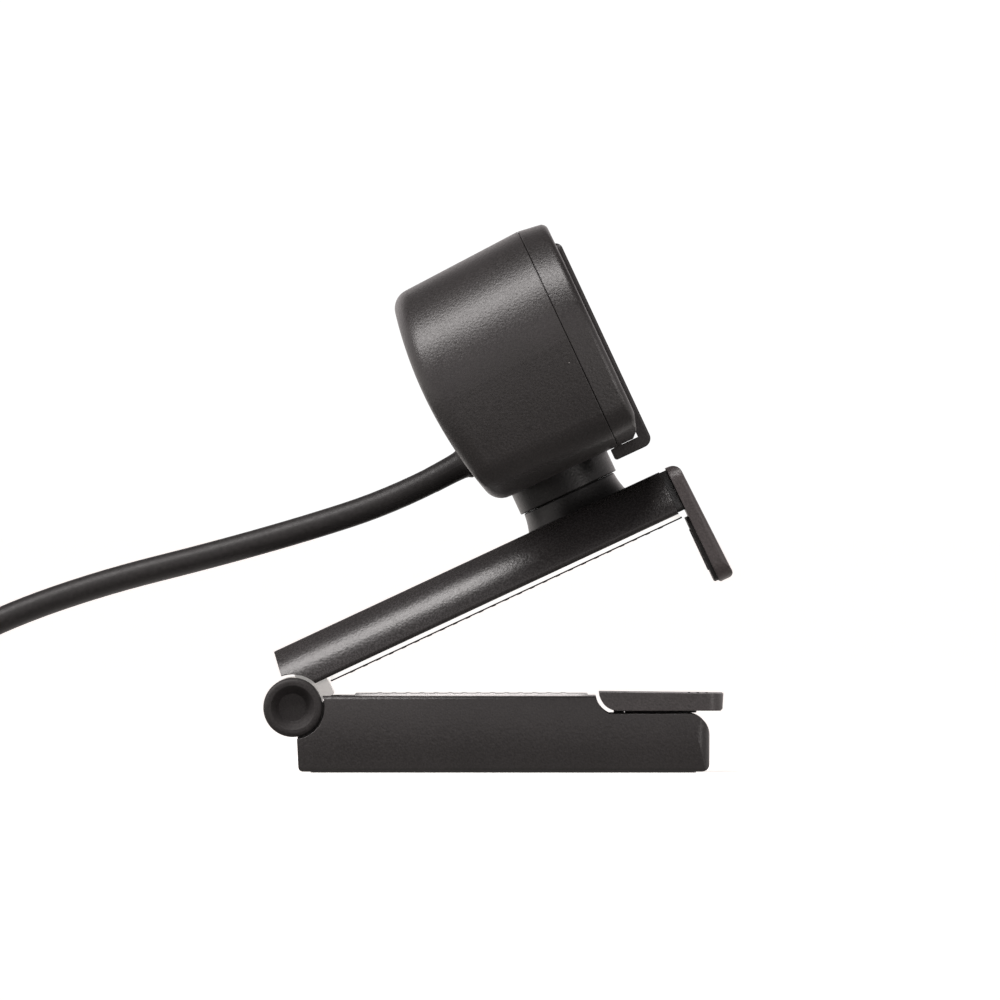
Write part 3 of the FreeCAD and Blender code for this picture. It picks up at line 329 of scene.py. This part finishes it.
def foam(name, tone, warm=0.02, glow=0.0):
    """Pale closed-cell foam with open pores on its cut sides; glow is painted light, the foam shining by
    itself to look brighter.
    """
    made, link, shader, add = material(name)
    where = add("ShaderNodeTexCoord").outputs["Object"]
    pores = add("ShaderNodeTexVoronoi", Scale=3500.0)
    link(where, pores.inputs["Vector"])
    shade = ramp(add, [(0.05, grey(tone * 0.72, warm)), (0.45, grey(tone, warm))])
    link(pores.outputs["Distance"], shade.inputs["Fac"])
    link(shade.outputs["Color"], shader.inputs["Base Color"])
    bump = add("ShaderNodeBump", Strength=0.6, Distance=0.0001)
    link(pores.outputs["Distance"], bump.inputs["Height"])
    link(bump.outputs["Normal"], shader.inputs["Normal"])
    shader.inputs["Roughness"].default_value = 0.85
    # painted light: emission that makes the foam look brighter than its lamps light it
    shader.inputs["Emission Color"].default_value = (1.0, 0.98, 0.95, 1.0)
    shader.inputs["Emission Strength"].default_value = glow
    return made


def metal(name, colour, roughness, brushed=0.3, metallic=1.0, glow=0.0):
    """Metal with fine drawn lines and uneven polish; glow is painted light, the part shining by itself as if
    lit by stray room light.
    """
    made, link, shader, add = material(name)
    where = add("ShaderNodeTexCoord").outputs["Object"]
    stretch = add("ShaderNodeMapping")
    stretch.inputs["Scale"].default_value = (1.0, 9.0, 9.0)
    link(where, stretch.inputs["Vector"])
    lines = add("ShaderNodeTexNoise", Scale=700.0, Detail=3.0)
    link(stretch.outputs["Vector"], lines.inputs["Vector"])
    tint = ramp(add, [(0.3, tuple(c * 0.85 for c in colour)), (0.7, colour)])
    link(lines.outputs["Fac"], tint.inputs["Fac"])
    link(tint.outputs["Color"], shader.inputs["Base Color"])
    gloss = add("ShaderNodeMapRange", **{"To Min": roughness * 0.7, "To Max": roughness * 1.4})
    link(lines.outputs["Fac"], gloss.inputs["Value"])
    link(gloss.outputs["Result"], shader.inputs["Roughness"])
    rounded = add("ShaderNodeBevel", samples=4, Radius=0.00015)
    bump = add("ShaderNodeBump", Strength=brushed, Distance=0.00003)
    link(lines.outputs["Fac"], bump.inputs["Height"])
    link(rounded.outputs["Normal"], bump.inputs["Normal"])
    link(bump.outputs["Normal"], shader.inputs["Normal"])
    shader.inputs["Metallic"].default_value = metallic
    # painted light: emission that makes the metal look lit where no lamp reaches
    shader.inputs["Emission Color"].default_value = (1.0, 0.97, 0.94, 1.0)
    shader.inputs["Emission Strength"].default_value = glow
    return made


def glass(name, tint, roughness=0.02, film=420.0):
    """Clear optical part with a thin coating that colours its reflections."""
    made, link, shader, add = material(name)
    where = add("ShaderNodeTexCoord").outputs["Object"]
    smear = add("ShaderNodeTexNoise", Scale=300.0, Detail=3.0)
    link(where, smear.inputs["Vector"])
    gloss = add("ShaderNodeMapRange", **{"To Min": roughness, "To Max": roughness + 0.05})
    link(smear.outputs["Fac"], gloss.inputs["Value"])
    link(gloss.outputs["Result"], shader.inputs["Roughness"])
    shader.inputs["Base Color"].default_value = (*tint, 1.0)
    shader.inputs["Transmission Weight"].default_value = 1.0
    shader.inputs["IOR"].default_value = 1.5
    shader.inputs["Thin Film Thickness"].default_value = film
    return made


def cord_skin(name):
    """Satin black PVC with a fine grain."""
    return moulded(name, 0.014, 0.50, warm=0.10, grain=0.12, grain_size=0.0006, wear=0.0, edge=0.0001,
                   specular=0.36)


def board(name):
    """Solder mask with the faint relief of its tracks."""
    made, link, shader, add = material(name)
    where = add("ShaderNodeTexCoord").outputs["Object"]
    tracks = add("ShaderNodeTexBrick", Scale=260.0, **{"Mortar Size": 0.03})
    tracks.inputs["Color1"].default_value = (0.012, 0.10, 0.035, 1.0)
    tracks.inputs["Color2"].default_value = (0.010, 0.085, 0.03, 1.0)
    tracks.inputs["Mortar"].default_value = (0.03, 0.19, 0.06, 1.0)
    link(where, tracks.inputs["Vector"])
    link(tracks.outputs["Color"], shader.inputs["Base Color"])
    bump = add("ShaderNodeBump", Strength=0.4, Distance=0.00005)
    link(tracks.outputs["Fac"], bump.inputs["Height"])
    link(bump.outputs["Normal"], shader.inputs["Normal"])
    shader.inputs["Roughness"].default_value = 0.35
    return made


def tie_cloth(name):
    """Hook-and-loop strap: a short dark pile."""
    made, link, shader, add = material(name)
    where = add("ShaderNodeTexCoord").outputs["Object"]
    pile = add("ShaderNodeTexVoronoi", Scale=2600.0)
    link(where, pile.inputs["Vector"])
    shade = ramp(add, [(0.1, grey(0.035)), (0.6, grey(0.012))])
    link(pile.outputs["Distance"], shade.inputs["Fac"])
    link(shade.outputs["Color"], shader.inputs["Base Color"])
    bump = add("ShaderNodeBump", Strength=0.9, Distance=0.00025)
    bump.invert = True
    link(pile.outputs["Distance"], bump.inputs["Height"])
    link(bump.outputs["Normal"], shader.inputs["Normal"])
    shader.inputs["Roughness"].default_value = 0.9
    shader.inputs["Sheen Weight"].default_value = 0.4
    return made


FINISHES = {
    "housing": moulded("housing_plastic", 0.019, 0.36, warm=0.10, specks=0.05),
    "neck": moulded("neck_plastic", 0.006, 0.34, warm=0.03, grain=0.25, specular=0.4),
    "knob": moulded("knob_plastic", 0.028, 0.50, warm=0.08, grain=0.3, specular=0.22),
    "inner_plastic": moulded("inner_plastic", 0.012, 0.55, warm=0.02),
    "face": moulded("face_gloss", 0.006, 0.10, warm=0.0, grain=0.02, wear=0.2),
    "trim": moulded("trim_plastic", 0.010, 0.30, warm=0.0, grain=0.15),
    "slider": moulded("slider_plastic", 0.014, 0.42, warm=0.15, specks=0.04),
    "lens_glass": glass("coated_glass", (0.95, 0.97, 1.0)),
    "light_pipe": glass("light_pipe", (0.9, 0.9, 0.92), roughness=0.25, film=0.0),
    "rubber": rubber("pad_rubber", 0.018),
    # the pale pad's glow is painted light that lifts it out of its shade
    "pale_pad": foam("pale_foam", 0.82, glow=0.18),
    "brass": metal("brass", (0.75, 0.52, 0.22), 0.25),
    "steel": metal("steel", (0.60, 0.60, 0.61), 0.25),
    # the cast metal's glow is painted light, a brightening of the shaded hinge lug
    "cast_metal": metal("cast_metal", (0.95, 0.92, 0.89), 0.5, brushed=0.6, metallic=0.3,
                        glow=0.28),
    "chip": moulded("chip_epoxy", 0.010, 0.55, warm=0.0),
    "board": board("board_mask"),
    "cord_skin": cord_skin("cord_pvc"),
    "tie": tie_cloth("tie_cloth"),
    "plug_metal": metal("plug_nickel", (0.72, 0.71, 0.69), 0.22),
    "tongue": moulded("tongue_plastic", 0.55, 0.45, warm=0.0),
}
# pieces whose tone, gloss or glow differ a little from the rest of their slot
FINISH_OF = {
    # the tape's strong glow is painted light, the foam shining white by itself
    "arm_pad_tape": foam("painted_glow_foam", 0.92, glow=0.85),
    "arm_cover": moulded("arm_plastic", 0.025, 0.27, warm=0.08, grain=0.24, specks=0.05),
    "hook_lip": moulded("lip_plastic", 0.058, 0.38, warm=0.16),
    "foot_shell": moulded("foot_plastic", 0.024, 0.38, warm=0.10, specks=0.06),
    "flap": moulded("flap_plastic", 0.052, 0.38, warm=0.10),
}


def finish_nodes():
    """Gives every CAD node the finish of its record slot."""
    for part in frame["record"]["subparts"]:
        finish = FINISH_OF.get(part["node"], FINISHES[part["material_slot"]])
        data = nodes[part["node"]].data
        if not data.materials:
            data.materials.append(finish)
        for i in range(len(data.materials)):
            data.materials[i] = finish


finish_nodes()

# -------------------------------------------------------------------- mesh helpers


def rounded_outline(half_a, half_b, corner, steps=6):
    """Rectangle with round corners about the origin, as (a, b) points."""
    points = []
    for i, (side_a, side_b) in enumerate(((1, 1), (-1, 1), (-1, -1), (1, -1))):
        for k in range(steps + 1):
            angle = math.radians(90 * (i + k / steps))
            points.append((side_a * (half_a - corner) + corner * math.cos(angle),
                           side_b * (half_b - corner) + corner * math.sin(angle)))
    return points


def add_loft(mesh, rings):
    """Adds a closed skin through rings of equal length to a bmesh."""
    made = [[mesh.verts.new(point) for point in ring] for ring in rings]
    for first, second in zip(made, made[1:]):
        for k in range(len(first)):
            mesh.faces.new((first[k - 1], first[k], second[k], second[k - 1]))
    mesh.faces.new(reversed(made[0]))
    mesh.faces.new(made[-1])


def piece_of(name, lofts, body, slot, nodes_replaced=()):
    """New piece made of one or more lofts, with its body, its slot and that slot's finish."""
    shape = bmesh.new()
    for rings in lofts:
        add_loft(shape, rings)
    bmesh.ops.recalc_face_normals(shape, faces=shape.faces)
    mesh = bpy.data.meshes.new(name)
    shape.to_mesh(mesh)
    shape.free()
    mesh.shade_smooth()
    mesh.set_sharp_from_angle(angle=math.radians(50))
    mesh.materials.append(FINISHES[slot])
    piece = bpy.data.objects.new(name, mesh)
    scene.collection.objects.link(piece)
    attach(piece, body)
    if nodes_replaced:
        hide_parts(*nodes_replaced)
    return piece


# ---------------------------------------------------------------------------- pads
# Each pad fills its CAD solid's box.  It is thin along one axis and its soft face
# looks along that axis, the positive way or the negative one.
PAD_EDGE = 0.12 * MM          # rounding of the rim
PAD_CHANNEL = 0.08 * MM       # depth of the channel moulded round the border
CHANNEL_FROM, CHANNEL_TO, CHANNEL_SLOPE = 0.80 * MM, 1.50 * MM, 0.15 * MM
RIB_WIDE, RIB_EVERY = 0.9 * MM, 2.4 * MM
RIB_CLEAR = 2.2 * MM          # from the ends of the ribs to the pad's long edges
RIB_MARGIN = 2.5 * MM         # from the outer ribs to the pad's short edges
CORNER_LEAST = 0.1 * MM


def make_pad(name, node, place, body, slot, thin, facing, corner, ribs=0.0):
    """Moulded pad: rounded rim, border channel, crowned middle and low cross ribs."""
    low, high = local_box(node, place)
    centre, half = (low + high) / 2, (high - low) / 2
    wide, long = sorted((i for i in range(3) if i != thin), key=lambda i: half[i])
    rise = half[thin] - ribs

    def ring(inset, height):
        points = []
        round_left = max(corner - inset, CORNER_LEAST)
        for a, b in rounded_outline(half[long] - inset, half[wide] - inset, round_left):
            point = centre.copy()
            point[long] += a
            point[wide] += b
            point[thin] += facing * height
            points.append(place @ point)
        return points

    floor = rise - PAD_CHANNEL
    skin = [ring(0.0, -half[thin]), ring(0.0, rise - PAD_EDGE), ring(0.3 * PAD_EDGE, rise - 0.3 * PAD_EDGE),
            ring(PAD_EDGE, rise), ring(CHANNEL_FROM, rise), ring(CHANNEL_FROM + CHANNEL_SLOPE, floor),
            ring(CHANNEL_TO - CHANNEL_SLOPE, floor), ring(CHANNEL_TO, rise),
            ring(0.7 * half[wide], rise + 0.1 * ribs)]
    lofts = [skin]
    reach = half[wide] - RIB_CLEAR
    count = int((2 * (half[long] - RIB_MARGIN)) // RIB_EVERY) if ribs else 0
    for i in range(count):
        across = (i - (count - 1) / 2) * RIB_EVERY
        rings = []
        for shrink, height in ((0.0, rise - 0.2 * ribs), (0.0, rise + 0.5 * ribs), (0.25, rise + ribs)):
            half_rib = RIB_WIDE / 2 * (1 - shrink)
            points = []
            for a, b in rounded_outline(half_rib, reach, half_rib * 0.95, steps=3):
                point = centre.copy()
                point[long] += across + a
                point[wide] += b
                point[thin] += facing * height
                points.append(place @ point)
            rings.append(points)
        lofts.append(rings)
    pad = piece_of(name, lofts, body, slot, [node])
    pad.data.materials[0] = FINISH_OF.get(node, FINISHES[slot])


U, N, X, Z = 0, 2, 0, 2        # axes along and square to the arm, and to the bench
make_pad("jaw_pad_lower", "foot_pad", BENCH, "foot", "pale_pad", Z, 1, 2.0 * MM, 0.10 * MM)
make_pad("jaw_pad_tape", "arm_pad_tape", ARM, "arm", "pale_pad", N, -1, 1.5 * MM)
make_pad("jaw_pad_upper", "arm_pad", ARM, "arm", "rubber", N, -1, 1.5 * MM, 0.08 * MM)
make_pad("flap_grip_pad", "flap_pad", BENCH, "flap", "rubber", Z, -1, 1.0 * MM, 0.10 * MM)
make_pad("lip_grip_pad", "hook_pad", ARM, "arm", "rubber", U, -1, 1.8 * MM, 0.15 * MM)

# -------------------------------------------------------------------- swivel washer
SHIM_RADIUS = 8.2 * MM
SHIM_CLEAR = 0.01 * MM        # left free above and below it
SHIM_EDGE = 0.02 * MM


def make_shim():
    """Thin friction washer that fills the seam of the swivel."""
    low = local_box("neck_base", ARM)[1].z + SHIM_CLEAR
    high = local_box("neck_collar", ARM)[0].z - SHIM_CLEAR
    centre = ARM.inverted() @ Vector(joints["head_swivel"]["pos_m"])
    rings = []
    for n, shrink in ((low, SHIM_EDGE), (low + SHIM_EDGE, 0.0), (high - SHIM_EDGE, 0.0), (high, SHIM_EDGE)):
        radius = SHIM_RADIUS - shrink
        rings.append([ARM @ Vector((centre.x + a, b, n))
                      for a, b in rounded_outline(radius, radius, radius, steps=16)])
    return piece_of("swivel_shim", [rings], "arm", "neck")


make_shim()

# -------------------------------------------------------------------- strain relief
# Distance along the outlet from the head's rear wall, and radius there.
RELIEF_PROFILE = [(-3.4, 3.6), (-3.3, 3.8), (-2.3, 3.8), (-2.2, 3.6), (-2.1, 2.85), (-0.1, 2.85), (0.15, 2.7),
                  (0.45, 2.5), (1.0, 2.38), (2.2, 2.3), (4.5, 2.25), (6.2, 2.23), (7.0, 2.12)]


def make_relief():
    """Moulded sleeve: a flange inside the wall, then a flare that runs out flush with the lead."""
    start = ARM @ Vector((CORD_EXIT_U, 0, CORD_EXIT_N))
    way = (cord_exit() - start).normalized()
    across = Vector((0, 1, 0))
    up = way.cross(across)
    rings = []
    for reach, radius in RELIEF_PROFILE:
        rings.append([start + way * reach * MM + (across * a + up * b)
                      for a, b in rounded_outline(radius * MM, radius * MM, radius * MM, steps=10)])
    piece_of("relief_sleeve", [rings], "head", "cord_skin", ["strain_relief"])


make_relief()

# ------------------------------------------------------------------------- plug grip
PLUG_X, PLUG_Y, PLUG_Z = -64.0 * MM, 9.5 * MM, 4.0 * MM
NOSE_LONG, GRIP_LONG = 6.0 * MM, 18.0 * MM
NOSE_TIP_R, NOSE_GROW = 2.55 * MM, 0.65 * MM      # radius at the lead, and how much it gains
NOSE_RIBS, NOSE_GROOVE = 5, 0.25 * MM
BODY_R = 3.2 * MM                                 # half size where the body grows out of the nose
SHOULDER = ((0.0, 0.0), (0.25, 0.55), (0.8, 0.80), (1.6, 0.94), (2.8, 1.0))   # (mm along, part grown)
GRIP_HALF_X, GRIP_HALF_Z, GRIP_ROUND = 7.6 * MM, 3.8 * MM, 2.4 * MM
DISH_FROM, DISH_LONG, DISH_DEEP = 4.0 * MM, 9.6 * MM, 0.5 * MM
GRIP_RIDGES, RIDGE_HIGH = 4, 0.3 * MM


def grip_ring(y, half_x, half_z, corner):
    """Cross-section of the grip at y, as a ring of points."""
    return [BENCH @ Vector((PLUG_X + a, y, PLUG_Z + b)) for a, b in rounded_outline(half_x, half_z, corner)]


def make_plug_grip():
    """Moulded grip: a ribbed nose, then a flat body with ridges in a shallow finger dish."""
    rings = []
    for i in range(NOSE_RIBS):
        for part, depth in ((0.0, NOSE_GROOVE), (0.12, 0.0), (0.60, 0.0), (0.72, NOSE_GROOVE)):
            t = (i + part) / NOSE_RIBS
            radius = NOSE_TIP_R + NOSE_GROW * t - depth
            rings.append(grip_ring(PLUG_Y - NOSE_LONG * t, radius, radius, radius))
    body_y = PLUG_Y - NOSE_LONG
    for back, grow in SHOULDER:
        half_x = BODY_R + (GRIP_HALF_X - BODY_R) * grow
        half_z = BODY_R + (GRIP_HALF_Z - BODY_R) * grow
        corner = BODY_R + (GRIP_ROUND - BODY_R) * grow
        rings.append(grip_ring(body_y - back * MM, half_x, half_z, corner))
    for i in range(GRIP_RIDGES * 4 + 1):
        t = i / (GRIP_RIDGES * 4)
        sink = DISH_DEEP * math.sin(math.pi * t) ** 0.5
        ridge = RIDGE_HIGH if i % 4 in (1, 2) else 0.0
        half_z = GRIP_HALF_Z - max(0.0, sink - ridge)
        rings.append(grip_ring(body_y - DISH_FROM - DISH_LONG * t, GRIP_HALF_X, half_z, GRIP_ROUND))
    for left, shrink in ((0.9, 0.0), (0.3, 0.06), (0.0, 0.4)):
        rings.append(grip_ring(body_y - GRIP_LONG + left * MM, GRIP_HALF_X - shrink * MM,
                               GRIP_HALF_Z - shrink * MM, GRIP_ROUND - shrink * MM))
    return piece_of("plug_overmould", [rings], "head", "cord_skin", ["plug_grip"])


CONTACT_PLACES = (-3.5, -1.0, 1.0, 3.5)           # mm across the tongue
CONTACT_HALF_X, CONTACT_HALF_Y, CONTACT_ROUND = 0.5 * MM, 4.2 * MM, 0.25 * MM
CONTACT_MIDDLE = 4.6 * MM                         # from the tongue's tip
CONTACT_RINGS = ((0.0, 0.02 * MM), (0.0, -0.04 * MM), (0.1 * MM, -0.08 * MM))     # (shrink, height)


def make_contacts():
    """Four contact strips on the plug's tongue."""
    tip = local_box("plug_tongue", BENCH)[0]
    lofts = []
    for x in CONTACT_PLACES:
        rings = []
        for shrink, z in CONTACT_RINGS:
            outline = rounded_outline(CONTACT_HALF_X - shrink, CONTACT_HALF_Y - shrink, CONTACT_ROUND,
                                      steps=3)
            rings.append([BENCH @ Vector((PLUG_X + x * MM + a, tip.y + CONTACT_MIDDLE + b, tip.z + z))
                          for a, b in outline])
        lofts.append(rings)
    return piece_of("plug_contacts", lofts, "head", "brass")


# ------------------------------------------------------------------------- cord tie
TIE_WIDE, TIE_THICK, TIE_GAP = 5.0 * MM, 0.4 * MM, 0.03 * MM
TIE_FROM, TIE_LAP = 75, 75        # degrees: where the strap starts and how far it laps itself
TIE_STEP = 3
CLIMB_FROM, CLIMB_LONG = 350, 18  # degrees of the stretch where it climbs on to its own start
TIE_CORNER = 1 / 3                # exponent of the rounded square that it follows


def make_tie():
    """Hook-and-loop strap once round the bundle, its free end lapped over the outside."""
    half = 1.5 * COIL_PITCH + 0.08 * MM
    centre_x = COIL_X - COIL_MEAN_R
    centre_z = COIL_BED + 1.5 * COIL_PITCH
    rings = []
    for degrees in range(0, 361 + TIE_LAP, TIE_STEP):
        inner = half + (TIE_THICK + TIE_GAP) * ease((degrees - CLIMB_FROM) / CLIMB_LONG)
        angle = math.radians(TIE_FROM + degrees)
        across, up = math.cos(angle), math.sin(angle)
        across = math.copysign(abs(across) ** TIE_CORNER, across)
        up = math.copysign(abs(up) ** TIE_CORNER, up)
        ring = []
        for a, b in rounded_outline(TIE_WIDE / 2, TIE_THICK / 2, TIE_THICK * 0.45, steps=2):
            reach = inner + TIE_THICK / 2 + b
            ring.append(BENCH @ Vector((centre_x + reach * across, COIL_Y + a, centre_z + reach * up)))
        rings.append(ring)
    return piece_of("lead_strap", [rings], "head", "tie", ["cord_tie"])


plug_grip = make_plug_grip()
plug_contacts = make_contacts()
strap = make_tie()

# ------------------------------------------------------------------ the lead's facts
lead.data.materials.append(FINISHES["cord_skin"])
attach(lead, "head")
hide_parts("usb_cord", "cord_coil", "cord_tail")

# ----------------------------------------------------------------- floor and light
FLOOR_HALF = 30.0
FLOOR_GLOW = 0.80                     # the floor's own light as the camera sees it
FLOOR_SHADE = (0.10, 0.095, 0.09)     # the floor's colour for all other light
FLOOR_FRONT, FLOOR_BEHIND = 0.10, 1.0
REAR_FROM, REAR_TO = -0.03, 0.02      # the floor grows bright between these, from front to back
SIDE_FROM, SIDE_LONG = 0.11, 0.08     # and beyond this far to the left and right
ROOM_LOW, ROOM_HIGH = 0.42, 1.05      # the room on the camera's side, low down and higher up
CEILING = 0.10
BACKDROP = 1.1                        # the white wall behind
BACKDROP_SEEN = 1.05                  # the same wall as the camera sees it


def make_floor():
    """Large pale floor that stays white to the horizon."""
    mesh = bpy.data.meshes.new("floor")
    corners = [(a * FLOOR_HALF, b * FLOOR_HALF, 0) for a, b in ((-1, -1), (1, -1), (1, 1), (-1, 1))]
    mesh.from_pydata(corners, [], [(0, 1, 2, 3)])
    floor = bpy.data.objects.new("floor", mesh)
    scene.collection.objects.link(floor)
    mesh.materials.append(floor_paper())


def floor_paper():
    """White paper to the camera; as a light source it is bright behind and beside the object."""
    made, link, shader, add = material("floor_paper")
    where = add("ShaderNodeTexCoord").outputs["Object"]
    grain = add("ShaderNodeTexNoise", Scale=40.0, Detail=3.0)
    link(where, grain.inputs["Vector"])
    seen = ramp(add, [(0.3, (0.86, 0.85, 0.84)), (0.7, (0.9, 0.89, 0.88))])
    link(grain.outputs["Fac"], seen.inputs["Fac"])
    path = add("ShaderNodeLightPath")
    tone = add("ShaderNodeMix", data_type="RGBA")
    link(path.outputs["Is Camera Ray"], tone.inputs["Factor"])
    tone.inputs["A"].default_value = (*FLOOR_SHADE, 1.0)
    link(seen.outputs["Color"], tone.inputs["B"])
    link(tone.outputs["Result"], shader.inputs["Base Color"])
    split = add("ShaderNodeSeparateXYZ")
    link(where, split.inputs["Vector"])
    behind = add("ShaderNodeMapRange", **{"From Min": REAR_FROM, "From Max": REAR_TO})
    link(split.outputs["Y"], behind.inputs["Value"])
    away = add("ShaderNodeMath", operation="ABSOLUTE")
    link(split.outputs["X"], away.inputs[0])
    beside = add("ShaderNodeMapRange", **{"From Min": SIDE_FROM, "From Max": SIDE_FROM + SIDE_LONG})
    link(away.outputs[0], beside.inputs["Value"])
    bright = add("ShaderNodeMath", operation="MAXIMUM")
    link(behind.outputs["Result"], bright.inputs[0])
    link(beside.outputs["Result"], bright.inputs[1])
    level = add("ShaderNodeMapRange", **{"To Min": FLOOR_FRONT, "To Max": FLOOR_BEHIND})
    link(bright.outputs[0], level.inputs["Value"])
    glow = add("ShaderNodeMix", data_type="FLOAT")
    link(path.outputs["Is Camera Ray"], glow.inputs["Factor"])
    link(level.outputs["Result"], glow.inputs["A"])
    glow.inputs["B"].default_value = FLOOR_GLOW
    link(glow.outputs["Result"], shader.inputs["Emission Strength"])
    shader.inputs["Emission Color"].default_value = (1.0, 0.95, 0.92, 1.0)
    shader.inputs["Roughness"].default_value = 0.9
    shader.inputs["Specular IOR Level"].default_value = 0.1
    return made


def area_light(name, place, target, width, height, power, colour=(1, 1, 1)):
    """Rectangular lamp at place that shines toward target."""
    data = bpy.data.lights.new(name, "AREA")
    data.shape = "RECTANGLE"
    data.size = width
    data.size_y = height
    data.energy = power
    data.color = colour
    light = bpy.data.objects.new(name, data)
    light.location = place
    aim = Vector(target) - Vector(place)
    light.rotation_euler = aim.to_track_quat("-Z", "Y").to_euler()
    scene.collection.objects.link(light)
    return light


def make_world():
    """White backdrop round the horizon, dim room in front and dark ceiling."""
    world = bpy.data.worlds.new("studio")
    scene.world = world
    world.use_nodes = True
    tree = world.node_tree
    link = tree.links.new
    add = node_adder(tree)

    where = add("ShaderNodeTexCoord")
    split = add("ShaderNodeSeparateXYZ")
    link(where.outputs["Generated"], split.inputs["Vector"])
    room = add("ShaderNodeMapRange", **{"From Min": -0.25, "From Max": 0.40,
                                        "To Min": ROOM_LOW, "To Max": ROOM_HIGH})
    link(split.outputs["Z"], room.inputs["Value"])
    rear = add("ShaderNodeMapRange", **{"From Min": -0.25, "From Max": 0.35})
    rear.interpolation_type = "SMOOTHSTEP"
    link(split.outputs["Y"], rear.inputs["Value"])
    behind = add("ShaderNodeMix", data_type="FLOAT")
    link(rear.outputs["Result"], behind.inputs["Factor"])
    link(room.outputs["Result"], behind.inputs["A"])
    behind.inputs["B"].default_value = BACKDROP
    aloft = add("ShaderNodeMapRange", **{"From Min": 0.30, "From Max": 0.62, "To Min": 0.0, "To Max": 1.0})
    aloft.interpolation_type = "SMOOTHSTEP"
    link(split.outputs["Z"], aloft.inputs["Value"])
    level = add("ShaderNodeMix", data_type="FLOAT")
    link(aloft.outputs["Result"], level.inputs["Factor"])
    link(behind.outputs["Result"], level.inputs["A"])
    level.inputs["B"].default_value = CEILING
    lit = tree.nodes["Background"]
    lit.inputs["Color"].default_value = (1.0, 0.935, 0.93, 1.0)
    link(level.outputs["Result"], lit.inputs["Strength"])
    seen = add("ShaderNodeBackground", Color=(1, 1, 1, 1), Strength=BACKDROP_SEEN)
    path = add("ShaderNodeLightPath")
    pick = add("ShaderNodeMixShader")
    link(path.outputs["Is Camera Ray"], pick.inputs["Fac"])
    link(lit.outputs["Background"], pick.inputs[1])
    link(seen.outputs["Background"], pick.inputs[2])
    link(pick.outputs["Shader"], tree.nodes["World Output"].inputs["Surface"])


scene.view_settings.view_transform = "Standard"
make_floor()
make_world()
area_light("overhead_softbox", place=(-0.50, -0.275, 0.60), target=(-0.50, -0.275, 0),
           width=1.1, height=0.27, power=10.5, colour=(1.0, 0.965, 0.955))
area_light("side_window", place=(0.90, -1.10, 0.10), target=(0, 0, 0.05),
           width=0.16, height=0.24, power=2.3, colour=(1.0, 0.95, 0.93))
